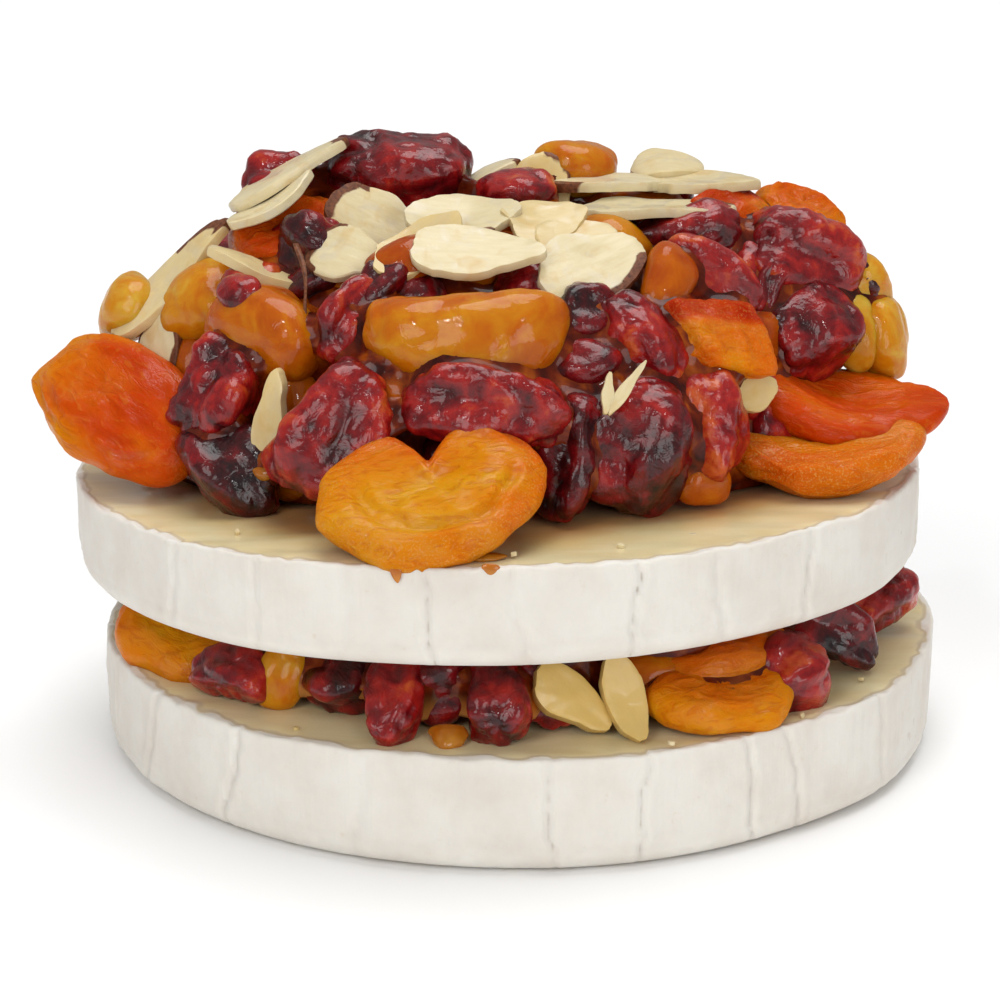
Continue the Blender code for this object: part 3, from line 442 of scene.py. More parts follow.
def apricot_form(size, grain, rng, notch, tone):
    """A dried apricot half: the solid's form with a puckered rim, leathery folds and a grainy skin."""
    unit, faces, angle, _ = ball(*grain)
    length, width, thickness = size
    phase = rng.uniform(0.0, 2.0 * math.pi)
    bow = 0.0 if notch else rng.uniform(-0.12, 0.12)
    height = unit[:, 2]
    reach = np.hypot(unit[:, 0], unit[:, 1]) ** APRICOT_RIM
    outline = 1.0 + APRICOT_LOBES * np.sin(2.0 * angle + phase)
    outline += 0.6 * APRICOT_LOBES * np.sin(3.0 * angle + 2.0 * phase)
    outline -= notch * np.exp(-((angle - math.pi / 2.0) / NOTCH_WIDTH) ** 2)
    lift = 0.5 * thickness * height * (1.0 - APRICOT_DISH * (1.0 - reach))
    ripple = 0.10 * thickness * np.sin(3.0 * reach * np.cos(angle) + phase)
    bend = bow * width * (reach * np.cos(angle)) ** 2
    flat = 0.5 * reach * outline
    points = np.stack(
        (length * flat * np.cos(angle), width * flat * np.sin(angle), lift + ripple + bend), axis=1)
    seed = rng.randrange(1000)
    pucker = 0.7 * noise(points * np.array((1.0, 1.0, 0.3)), 4.5, seed) * smoothstep(0.6, 1.0, reach)
    drawn = points * np.array((0.4, 1.0, 1.0)) + 1.5 * noise(points, 7.0, seed)[:, None]
    outer = 7.0 * reach + 0.9 * noise(points, 6.0, seed + 5)
    hoop = np.stack((outer, 1.6 * np.cos(angle), 1.6 * np.sin(angle)), axis=1)
    folds = 0.45 * (ridges(drawn, 6.0, seed + 3) - 0.4) + 0.34 * ridges(hoop, 1.0, seed + 1)
    folds -= 1.5 * notch * np.exp(-((angle - math.pi / 2.0) / 0.22) ** 2) * smoothstep(0.25, 0.8, reach)
    inner = reach + 0.07 * noise(points, 5.0, seed + 8) - 0.05 * np.cos(angle)
    folds -= 1.8 * notch * np.exp(-((inner - 0.66) / 0.07) ** 2) * smoothstep(0.5, -0.3, np.sin(angle))
    folds += 0.09 * ridges(drawn, 1.1, seed + 4) + 0.05 * noise(points, 0.8, seed + 2)
    points = points + outward(points, size) * (pucker + folds)[:, None]
    rim = smoothstep(0.45, 1.0, reach + 0.15 * noise(points, 5.0, seed))
    middle, rim_change, top_light_and_shade, end_change, sugar = tone
    form = Form(points, faces, 0.0, np.clip(sugar + 1.4 * notch * smoothstep(0.70, 0.78, inner), 0.0, 1.0))
    # Towards the top of the apricot: painted light and shade.
    upper = smoothstep(0.0, 1.0, reach * np.sin(angle) + 0.25 * noise(points, 5.0, seed + 6))
    streak = 0.16 * noise(drawn * np.array((0.6, 1.0, 1.0)), 2.2, seed + 7)
    change = rim_change * rim + top_light_and_shade * upper + end_change * reach * np.cos(angle)
    form.tone = np.clip(middle + change + streak, 0.0, 1.0)
    return form


def chunk_form(size, grain, rng, tone):
    """A cut chunk of dried apricot: the solid's block with uneven flat sides, blunt edges and a torn skin."""
    sides = []
    for number in range(CHUNK_SIDES):
        facing = Vector((rng.uniform(-0.35, 0.35), rng.uniform(-0.35, 0.35), rng.uniform(-0.35, 0.35)))
        if number < 6:
            facing[number // 2] += 1.0 if number % 2 else -1.0
        sides.append((facing.normalized(), rng.uniform(0.80, 1.0)))
    unit, faces, _, _ = ball(*grain)
    press = sum(
        np.maximum(0.0, unit @ np.array(facing) / reach) ** CHUNK_SHARPNESS for facing, reach in sides)
    points = unit * press[:, None] ** (-1.0 / CHUNK_SHARPNESS) * np.array(size) * 0.5
    seed = rng.randrange(1000)
    folds = 0.35 * (ridges(points, 3.4, seed) - 0.4) + 0.22 * ridges(points, 1.6, seed + 1)
    folds += 0.08 * noise(points, 0.8, seed + 2)
    points = points + outward(points, size) * folds[:, None]
    form = Form(points, faces, 0.0, np.full(len(points), tone[4]))
    top = smoothstep(0.1, 0.3, points[:, 1] / size[1] + 0.08 * noise(points, 3.0, seed + 4))
    form.tone = np.clip(tone[0] + 0.30 * noise(points, 4.5, seed + 3) - 0.45 * top, 0.0, 1.0)
    return form


def almond_form(size, grain, rng, skin, tone):
    """A slice of almond: the solid's curled plate with crisp edges, and skin on part of its rim."""
    sides, rings = grain
    unit, faces, angle, pole = ball(sides, rings)
    length, width, thickness = size
    curl = rng.uniform(-ALMOND_CURL, ALMOND_CURL)
    seed = rng.randrange(1000)
    share = 1.0 - np.abs(pole / (0.5 * math.pi) - 1.0)
    reach = np.interp(share, (0.0, 0.60, 0.80, 0.90, 1.0), (0.0, 0.88, 0.985, 1.0, 1.0))
    level = np.interp(share, (0.0, 0.60, 0.80, 0.90, 1.0), (0.86, 0.92, 0.86, 0.5, 0.0))
    level = 0.5 * thickness * level * np.sign(np.cos(pole) + 1e-9)
    ring = np.stack((np.cos(angle), np.sin(angle), np.zeros(len(angle))), axis=1)
    uneven = 1.0 + 0.03 * np.sin(3.0 * angle + seed) + 0.07 * noise(ring, 0.45, seed + 4)
    uneven += 0.02 * noise(ring, 0.12, seed)
    chord = np.cos(angle - rng.uniform(0.6, 5.6))
    uneven *= np.minimum(1.0, 0.86 / np.maximum(chord, 0.01))
    along = reach * np.cos(angle) * uneven
    across = reach * np.sin(angle) * (1.0 - ALMOND_TAPER * np.cos(angle)) * uneven
    if length > 3.0 * width:
        across *= 0.72 + 0.28 * np.abs(np.cos(2.6 * along + 0.4))
    level += curl * length * along * along
    points = np.stack((0.5 * length * along, 0.5 * width * across, level), axis=1)
    warp = 0.40 * noise(points * np.array((1.0, 1.0, 0.0)), 6.0, seed) + 0.07 * noise(points, 1.2, seed + 1)
    points[:, 2] += warp
    edge = np.zeros(len(points))
    if skin:
        low, high = (math.radians(value) for value in skin)
        middle, half = 0.5 * (low + high), 0.5 * (high - low)
        apart = np.abs((angle - middle + math.pi) % (2.0 * math.pi) - math.pi)
        edge = smoothstep(half + 0.12, half - 0.12, apart + 0.15 * noise(points, 1.5, seed + 2))
        edge *= smoothstep(0.80, 0.90, reach + 0.05 * noise(points, 1.2, seed + 3))
    return Form(points, faces, tone, edge)


def forked_form(size, rng):
    """Two thin splinters of almond that meet at one end."""
    parts = []
    length, width, thickness = size
    for share, lean, shift in ((1.0, -5.0, 0.0), (0.62, 24.0, 0.28)):
        part_size = (share * length, 0.42 * width, 0.8 * thickness)
        splinter = almond_form(part_size, COARSE["almond"], rng, None, 0.5)
        turn = Matrix.Rotation(math.radians(lean), 4, "Z")
        splinter.points = transformed(splinter.points + np.array((0.5 * share * length, 0.0, 0.0)), turn)
        splinter.points += np.array((-0.5 * length + 0.12 * shift * length, shift * width * 0.2, 0.0))
        parts.append(splinter)
    return joined(parts)


def kind_of(name):
    """The kind of food that a piece's name gives."""
    return next(word for word in name.split("_") if word in SMALL_SIZES)


def seed_of(name):
    """A random generator that depends on the name alone."""
    return random.Random(sum(ord(letter) * (place + 1) for place, letter in enumerate(name)))


def piece_form(name, size, grains):
    """The form of a named piece, lying flat at the origin."""
    kind = kind_of(name)
    rng = seed_of(name)
    tone = TONES.get(name, random.Random(name).uniform(0.15, 0.8))
    if kind == "cranberry":
        wrinkle = WRINKLES["smooth" if name in SMOOTH else kind]
        return berry_form(size, CRANBERRY_FOLDS, CRANBERRY_FOLD_DEPTH, grains[kind], rng, wrinkle, tone)
    if name == "almond_forked":
        return forked_form(size, rng)
    if kind == "raisin":
        return berry_form(size, RAISIN_FOLDS, RAISIN_FOLD_DEPTH, grains[kind], rng, WRINKLES[kind], tone)
    if kind == "apricot":
        look = (tone, *APRICOT_LOOKS.get(name, (0.2, 0.0, 0.0, 0.2)))
        if "chunk" in name:
            return chunk_form(size, grains[kind], rng, look)
        return apricot_form(size, grains[kind], rng, NOTCH_DEPTH if name == "apricot_front" else 0.0, look)
    return almond_form(size, grains[kind], rng, ALMOND_SKINS.get(name), tone)


def aim(bearing, climb, spin):
    """The rotation that points Z outward by bearing and climb, with X turned up from level by spin."""
    bearing, climb, spin = math.radians(bearing), math.radians(climb), math.radians(spin)
    out = Vector((math.cos(climb) * math.cos(bearing), math.cos(climb) * math.sin(bearing), math.sin(climb)))
    level = Vector((-math.sin(bearing), math.cos(bearing), 0.0))
    along = math.cos(spin) * level + math.sin(spin) * out.cross(level)
    return Matrix((along, out.cross(along), out)).transposed()


def placed(row, place, grains):
    """The form of a row's piece where it lies in the object."""
    name, centre, size, turn = row
    form = piece_form(name, size, grains)
    matrix = place @ Matrix.Translation(Vector(centre)) @ aim(*turn).to_4x4()
    form.points = transformed(form.points, matrix)
    form.grain = form.grain + np.array([seed_of(name).uniform(0.0, 400.0) for _ in range(3)])
    return form


def transformed(points, matrix):
    """The points moved by a matrix."""
    turn = np.array(matrix.to_3x3())
    return points @ turn.T + np.array(matrix.translation)


def joined(forms):
    """Several forms as one."""
    faces = []
    start = 0
    for form in forms:
        faces.extend([[index + start for index in face] for face in form.faces])
        start += len(form.points)
    whole = Form(np.concatenate([form.points for form in forms]), faces)
    whole.grain = np.concatenate([form.grain for form in forms])
    whole.tone = np.concatenate([form.tone for form in forms])
    whole.mark = np.concatenate([form.mark for form in forms])
    return whole


def add_form(name, form, material, slot, nodes=()):
    """An object of the form, in metres, in its material, riding on the part and standing for CAD nodes."""
    mesh = bpy.data.meshes.new(name)
    mesh.from_pydata((form.points * MM).tolist(), [], form.faces)
    mesh.attributes.new("grain", "FLOAT_VECTOR", "POINT").data.foreach_set("vector", form.grain.ravel())
    mesh.attributes.new("tone", "FLOAT", "POINT").data.foreach_set("value", form.tone)
    mesh.attributes.new("mark", "FLOAT", "POINT").data.foreach_set("value", form.mark)
    mesh.materials.append(material)
    mesh.shade_smooth()
    if slot == "almond":
        mesh.set_sharp_from_angle(angle=SHARP_ANGLE)
    made = bpy.data.objects.new(name, mesh)
    bpy.context.scene.collection.objects.link(made)
    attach(made, "root")
    if nodes:
        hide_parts(*nodes)
    return made


# Roughness of every noise in the materials
NOISE_ROUGHNESS = 0.55


class Nodes:
    """One material and the nodes that make it."""

    def __init__(self, name):
        self.material = bpy.data.materials.new(name)
        self.material.use_nodes = True
        self.tree = self.material.node_tree
        self.shader = self.tree.nodes["Principled BSDF"]

    def add(self, kind, settings=None, **sockets):
        """A node of that kind; a socket given as a node's output is linked, and any other value is set."""
        made = self.tree.nodes.new(kind)
        for key, value in (settings or {}).items():
            setattr(made, key, value)
        for key, value in sockets.items():
            self.feed(made.inputs[key.replace("_", " ")], value)
        return made

    def feed(self, socket, value):
        """Link or set a socket."""
        if isinstance(value, bpy.types.NodeSocket):
            self.tree.links.new(value, socket)
        else:
            socket.default_value = value

    def read(self, name, output="Fac"):
        """A value that the mesh carries."""
        return self.add("ShaderNodeAttribute", {"attribute_name": name}).outputs[output]

    def noise(self, vector, size, detail=3.0, distortion=0.0):
        """Noise with features of that size in mm, read at a position in mm."""
        made = self.add("ShaderNodeTexNoise", None, Scale=1.0 / size, Detail=detail, Distortion=distortion)
        made.inputs["Roughness"].default_value = NOISE_ROUGHNESS
        self.feed(made.inputs["Vector"], vector)
        return made.outputs["Fac"]

    def drawn_out(self, vector, scale):
        """The position scaled on each axis, so that noise read there is drawn out."""
        return self.add("ShaderNodeMapping", None, Vector=vector, Scale=scale).outputs[0]

    def ramp(self, factor, stops):
        """Colours or greys along a factor."""
        made = self.add("ShaderNodeValToRGB", None, Fac=factor)
        elements = made.color_ramp.elements
        while len(elements) < len(stops):
            elements.new(0.5)
        for element, (position, colour) in zip(elements, stops):
            element.position = position
            element.color = (*colour, 1.0) if isinstance(colour, tuple) else (colour, colour, colour, 1.0)
        return made.outputs["Color"]

    def mix(self, factor, first, second, blend="MIX"):
        """Two colours mixed."""
        made = self.add("ShaderNodeMix", {"data_type": "RGBA", "blend_type": blend})
        self.feed(made.inputs[0], factor)
        self.feed(made.inputs[6], first)
        self.feed(made.inputs[7], second)
        return made.outputs[2]

    def maths(self, operation, first, second=0.0, clamp=False):
        """One sum on numbers."""
        made = self.add("ShaderNodeMath", {"operation": operation, "use_clamp": clamp})
        self.feed(made.inputs[0], first)
        self.feed(made.inputs[1], second)
        return made.outputs[0]

    def weighted(self, *terms):
        """The sum of values, each times its weight."""
        total = None
        for value, weight in terms:
            term = self.maths("MULTIPLY", value, weight)
            total = term if total is None else self.maths("ADD", total, term)
        return total

    def bump(self, height, strength, distance_mm, normal=None):
        """A normal bent by a height."""
        made = self.add("ShaderNodeBump", None, Height=height, Strength=strength, Distance=distance_mm * MM)
        if normal is not None:
            self.feed(made.inputs["Normal"], normal)
        return made.outputs["Normal"]

    def set(self, **sockets):
        """Set or link the shader's own sockets."""
        for key, value in sockets.items():
            self.feed(self.shader.inputs[key.replace("_", " ")], value)


def rgba(colour):
    """A colour with full alpha."""
    return (*colour, 1.0)


def cranberry_material():
    """Dark red skin with painted light on its ridges and painted shade in its folds, wet with honey."""
    look = Nodes("cranberry")
    grain = look.read("grain", "Vector")
    tone = look.read("tone")
    painted_fold_shade = look.read("mark")
    blotch = look.noise(grain, 3.5, 4.0, 0.6)
    speck = look.noise(grain, 0.7, 3.0)
    # Lighter on the crests and darker in the folds of the skin: painted light and painted shade.
    value = look.weighted((tone, 0.45), (blotch, 1.0), (painted_fold_shade, 0.26))
    value = look.maths("SUBTRACT", value, look.maths("MULTIPLY", look.maths("ADD", speck, 0.80), 0.18))
    colour = look.ramp(value, (
        (0.22, (0.010, 0.001, 0.0015)), (0.42, (0.055, 0.001, 0.002)), (0.60, (0.17, 0.002, 0.004)),
        (0.78, (0.33, 0.010, 0.007)), (0.96, (0.50, 0.085, 0.012))))
    fine = look.noise(grain, 0.45, 3.0, 0.4)
    wrinkle = look.noise(grain, 1.4, 3.0, 1.2)
    look.set(
        Base_Color=colour, Roughness=0.40, Subsurface_Weight=0.18, Subsurface_Scale=1.0 * MM,
        Subsurface_Radius=(2.4, 0.30, 0.20), Coat_Weight=0.72, Coat_Roughness=0.035, Coat_IOR=1.47,
        Normal=look.bump(fine, 0.35, 0.15, look.bump(wrinkle, 0.55, 0.4)),
        Coat_Normal=look.bump(wrinkle, 0.28, 0.4),
        Specular_IOR_Level=0.12)
    return look.material


def raisin_material():
    """Amber flesh that lets light through, with painted shade in its folds, wet with honey."""
    look = Nodes("raisin")
    grain = look.read("grain", "Vector")
    tone = look.read("tone")
    painted_fold_shade = look.read("mark")
    blotch = look.noise(grain, 4.5, 3.0, 0.8)
    # A little darker in the folds of the skin: painted shade.
    value = look.weighted((tone, 0.55), (blotch, 0.60), (painted_fold_shade, 0.12))
    colour = look.ramp(value, (
        (0.25, (0.15, 0.016, 0.0008)), (0.46, (0.34, 0.050, 0.0008)), (0.66, (0.46, 0.105, 0.001)),
        (0.84, (0.54, 0.21, 0.004)), (1.00, (0.58, 0.36, 0.04))))
    wrinkle = look.noise(grain, 2.2, 3.0, 0.8)
    fine = look.noise(grain, 0.6, 3.0)
    normal = look.bump(wrinkle, 0.40, 0.5)
    look.set(
        Base_Color=colour, Roughness=0.38, Subsurface_Weight=0.45, Subsurface_Scale=2.0 * MM,
        Subsurface_Radius=(1.6, 0.55, 0.08), Coat_Weight=0.55, Coat_Roughness=0.05, Coat_IOR=1.42,
        Normal=look.bump(fine, 0.15, 0.12, normal), Coat_Normal=look.bump(wrinkle, 0.2, 0.4),
        Specular_IOR_Level=0.05)
    return look.material


def apricot_material():
    """Orange leathery skin, yellow where it is thin, with creases darkened by painted shade and a little
    lighter on their crests, and pale grain where it is dry.
    """
    look = Nodes("apricot")
    grain = look.read("grain", "Vector")
    tone = look.read("tone")
    blotch = look.noise(grain, 6.0, 4.0, 0.8)
    value = look.weighted((tone, 0.85), (blotch, 0.24))
    colour = look.ramp(value, (
        (0.10, (0.34, 0.014, 0.0005)), (0.34, (0.50, 0.048, 0.0006)), (0.54, (0.58, 0.120, 0.0008)),
        (0.78, (0.60, 0.215, 0.001)), (1.0, (0.62, 0.32, 0.004))))
    sugar = look.read("mark")
    grit = look.noise(grain, 0.26, 2.0)
    pale = look.maths("MULTIPLY", look.ramp(grit, ((0.52, 0.0), (0.66, 0.6))), sugar)
    colour = look.mix(pale, colour, rgba((0.62, 0.30, 0.07)))
    fold = look.noise(look.drawn_out(grain, (0.40, 1.0, 1.0)), 1.3, 4.0, 1.4)
    # Darker in the valleys of the folds that the bump raises: painted shade.
    painted_crease_shade = look.ramp(fold, ((0.36, 0.35), (0.48, 0.0)))
    colour = look.mix(painted_crease_shade, colour, rgba((0.40, 0.050, 0.0008)))
    # A little lighter on the crests of the folds, where the skin is not sugary.
    crest_lightening = look.ramp(fold, ((0.56, 0.0), (0.68, 0.14)))
    crest_lightening = look.maths("MULTIPLY", crest_lightening, look.maths("SUBTRACT", 1.0, sugar))
    colour = look.mix(crest_lightening, colour, rgba((0.66, 0.34, 0.04)))
    normal = look.bump(fold, 0.6, 0.55)
    look.set(
        Base_Color=colour, Roughness=0.42, Subsurface_Weight=0.35, Subsurface_Scale=2.0 * MM,
        Subsurface_Radius=(1.4, 0.35, 0.05), Coat_Weight=look.ramp(blotch, ((0.45, 0.0), (0.62, 0.40))),
        Coat_Roughness=0.07, Specular_IOR_Level=0.05,
        Normal=look.bump(grit, 0.35, 0.15, normal), Coat_Normal=normal)
    return look.material


def almond_material():
    """Cream nut with faint streaks and honey stains, yellow where it is wet, with brown skin on the rim, and
    a painted pale grey sheen on its wet patches.
    """
    look = Nodes("almond")
    grain = look.read("grain", "Vector")
    skin = look.ramp(look.read("mark"), ((0.20, 0.0), (0.42, 1.0)))
    streak = look.noise(look.drawn_out(grain, (0.30, 1.3, 1.0)), 1.0, 5.0)
    cream = look.ramp(streak, ((0.30, (0.64, 0.53, 0.30)), (0.62, (0.70, 0.60, 0.37))))
    # Wet patches: glossier under the coat, and painted pale grey as a painted sheen of honey.
    wet = look.ramp(look.noise(grain, 3.5, 3.0, 0.8), ((0.50, 0.0), (0.66, 0.5)))
    cream = look.mix(wet, cream, rgba((0.60, 0.53, 0.40)))
    stain = look.ramp(look.noise(grain, 4.5, 3.0, 0.5), ((0.56, 0.0), (0.74, 0.6)))
    cream = look.mix(stain, cream, rgba((0.58, 0.36, 0.11)))
    yellow = look.ramp(look.read("tone"), ((0.45, 0.0), (1.0, 0.85)))
    cream = look.mix(yellow, cream, rgba((0.62, 0.40, 0.085)))
    bark = look.ramp(look.noise(grain, 0.5, 4.0), ((0.3, (0.07, 0.020, 0.009)), (0.7, (0.22, 0.075, 0.030))))
    normal = look.bump(look.noise(grain, 0.6, 4.0), 0.25, 0.10, look.bump(streak, 0.15, 0.12))
    look.set(
        Base_Color=look.mix(skin, cream, bark), Roughness=0.42, Subsurface_Weight=0.12,
        Subsurface_Scale=0.8 * MM, Subsurface_Radius=(1.0, 0.75, 0.4), Coat_Roughness=0.14,
        Coat_Weight=look.maths("SUBTRACT", look.maths("ADD", wet, 0.25), skin, clamp=True),
        Specular_IOR_Level=0.25, Normal=normal)
    return look.material


def honey_material():
    """Thick amber honey in the crevices of the fruit, paler near the cheese as painted light."""
    look = Nodes("honey")
    grain = look.read("grain", "Vector")
    blotch = look.noise(grain, 4.0, 3.0, 0.5)
    colour = look.ramp(blotch, (
        (0.34, (0.030, 0.002, 0.0006)), (0.52, (0.13, 0.012, 0.0008)), (0.70, (0.34, 0.068, 0.002))))
    # Paler near the cheese: a thin pool, lightened further as painted light in the shade under the fruit.
    colour = look.mix(look.read("tone"), colour, rgba((0.50, 0.20, 0.045)))
    look.set(
        Base_Color=colour, Roughness=0.35, Subsurface_Weight=0.2, Subsurface_Scale=1.5 * MM,
        Subsurface_Radius=(1.5, 0.3, 0.05), Coat_Weight=0.32, Coat_Roughness=0.05, Specular_IOR_Level=0.08,
        Normal=look.bump(look.noise(grain, 1.6, 2.0), 0.3, 0.3))
    return look.material


def drop_material():
    """Clear pale honey in thin drops."""
    look = Nodes("honey_drop")
    grain = look.read("grain", "Vector")
    swirl = look.noise(grain, 3.0, 2.0)
    look.set(
        Base_Color=look.ramp(swirl, ((0.3, (0.62, 0.16, 0.008)), (0.7, (0.80, 0.34, 0.03)))), Roughness=0.06,
        Transmission_Weight=0.5, IOR=1.47, Normal=look.bump(swirl, 0.2, 0.3))
    return look.material


def brie_material():
    """White bloomy rind with painted shade in its creases, round a pale yellow paste that honey has stained
    near the fruit.
    """
    look = Nodes("brie")
    grain = look.read("grain", "Vector")
    paste = look.read("tone")
    # The mark: the honey stain on the cut faces, and on the side, painted shade in the creases and a patch of
    # specks.
    honey = look.read("mark")
    cloud = look.noise(grain, 9.0, 4.0)
    fuzz = look.noise(grain, 0.35, 4.0)
    rind = look.ramp(cloud, ((0.32, (0.675, 0.620, 0.550)), (0.62, (0.745, 0.712, 0.650))))
    speck = look.ramp(look.noise(grain, 1.1, 2.0), ((0.66, 0.0), (0.80, 0.35)))
    rind = look.mix(speck, rind, rgba((0.66, 0.55, 0.42)))
    level = look.add("ShaderNodeSeparateXYZ", None, Vector=grain).outputs["Z"]
    level = look.maths("ADD", level, look.maths("MULTIPLY", look.noise(grain, 2.5, 3.0), 1.6))
    rind = look.mix(look.ramp(level, ((0.9, 0.55), (1.0, 0.0))), rind, rgba((0.66, 0.56, 0.42)))
    # Darker rind in the creases of the side as painted shade, and in a patch of real specks.
    crease_shade_and_speck_mix = look.ramp(look.noise(grain, 2.2, 4.0, 0.5), ((0.42, 0.0), (0.62, 0.55)))
    crease_shade_and_speck_mix = look.maths("MULTIPLY", look.ramp(honey, ((0.55, 0.0), (0.95, 1.0))), crease_shade_and_speck_mix)
    rind = look.mix(crease_shade_and_speck_mix, rind, rgba((0.47, 0.39, 0.30)))
    smear = look.noise(look.drawn_out(grain, (0.22, 1.0, 1.0)), 3.2, 4.0, 0.6)
    face = look.ramp(smear, ((0.30, (0.69, 0.56, 0.28)), (0.66, (0.77, 0.67, 0.40))))
    golden = look.ramp(look.noise(grain, 6.0, 3.0, 0.5), ((0.35, 0.35), (0.65, 0.85)))
    golden = look.maths("MULTIPLY", look.ramp(honey, ((0.10, 0.0), (0.55, 1.0))), golden)
    face = look.mix(golden, face, rgba((0.68, 0.46, 0.15)))
    face = look.mix(look.ramp(honey, ((0.55, 0.0), (0.90, 0.85))), face, rgba((0.62, 0.27, 0.05)))
    colour = look.mix(paste, rind, face)
    border = look.ramp(paste, ((0.05, 0.0), (0.30, 0.85), (0.65, 0.7), (0.95, 0.0)))
    colour = look.mix(border, colour, rgba((0.52, 0.41, 0.24)))
    normal = look.bump(fuzz, 0.25, 0.12)
    wrinkle = look.noise(look.drawn_out(grain, (1.0, 1.0, 0.10)), 1.1, 2.0)
    normal = look.bump(look.mix(paste, wrinkle, smear), 0.3, 0.35, normal)
    wet = look.maths("MULTIPLY", paste, look.maths("ADD", 0.3, honey))
    look.set(
        Base_Color=colour, Roughness=look.mix(paste, rgba((0.72, 0.72, 0.72)), rgba((0.40, 0.40, 0.40))),
        Subsurface_Weight=0.20, Subsurface_Scale=1.8 * MM, Subsurface_Radius=(1.0, 0.8, 0.5),
        Coat_Weight=look.maths("MULTIPLY", wet, 0.9), Coat_Roughness=0.10, Sheen_Weight=0.08, Normal=normal)
    return look.material


def floor_material():
    """A plain pale floor with a barely uneven sheen."""
    look = Nodes("floor")
    position = look.add("ShaderNodeTexCoord").outputs["Object"]
    mottle = look.add("ShaderNodeTexNoise", None, Vector=position, Scale=6.0, Detail=2.0).outputs["Fac"]
    look.set(Base_Color=look.ramp(mottle, ((0.3, 0.965), (0.7, 0.985))), Roughness=0.6)
    return look.material


def rim_profile(height):
    """Half a section of a half wheel in mm, from the middle of its cut face to the middle of its base."""
    section = [(radius, height) for radius in PASTE_RINGS]
    side_top, side_low = height - 0.25, EDGE_ROUND
    steps = int((side_top - side_low) / RIND_STEP)
    section += [(WHEEL_RADIUS, side_top + (side_low - side_top) * step / steps) for step in range(steps + 1)]
    corner = WHEEL_RADIUS - EDGE_ROUND
    for step in range(1, CORNER_STEPS + 1):
        angle = math.radians(90.0 * step / CORNER_STEPS)
        section.append((corner + EDGE_ROUND * math.cos(angle), EDGE_ROUND * (1.0 - math.sin(angle))))
    section += [(radius, 0.0) for radius in BASE_RINGS]
    return np.array(section)


def crease_depth(bearing, level, height, creases):
    """How deep the creases are at points of the side, in mm."""
    depth = np.zeros(len(bearing))
    across = WHEEL_RADIUS * math.pi / 180.0
    for where, lean, deep, wide in creases:
        wander = 0.30 * np.sin(level * 0.55 + where) + 0.16 * np.sin(level * 1.7 + 2.0 * where)
        shift = (bearing - where + 180.0) % 360.0 - 180.0
        apart = shift * across - lean * (level / height - 0.5) * 2.0 - wander
        depth += deep * np.exp(-(apart / (0.42 * wide)) ** 2)
        depth -= 0.35 * deep * np.exp(-((np.abs(apart) - 1.1 * wide) / (0.8 * wide)) ** 2)
    return depth


def back_creases(seed):
    """Creases for the side that faces away."""
    rng = random.Random(seed)
    made = []
    for number in range(BACK_CREASES):
        bearing = BACK_CREASES_FROM + (number + rng.uniform(0.1, 0.9)) * BACK_CREASES_SPAN / BACK_CREASES
        made.append((bearing, rng.uniform(-1.5, 1.5), rng.uniform(0.2, 0.5), rng.uniform(0.7, 1.3)))
    return tuple(made)


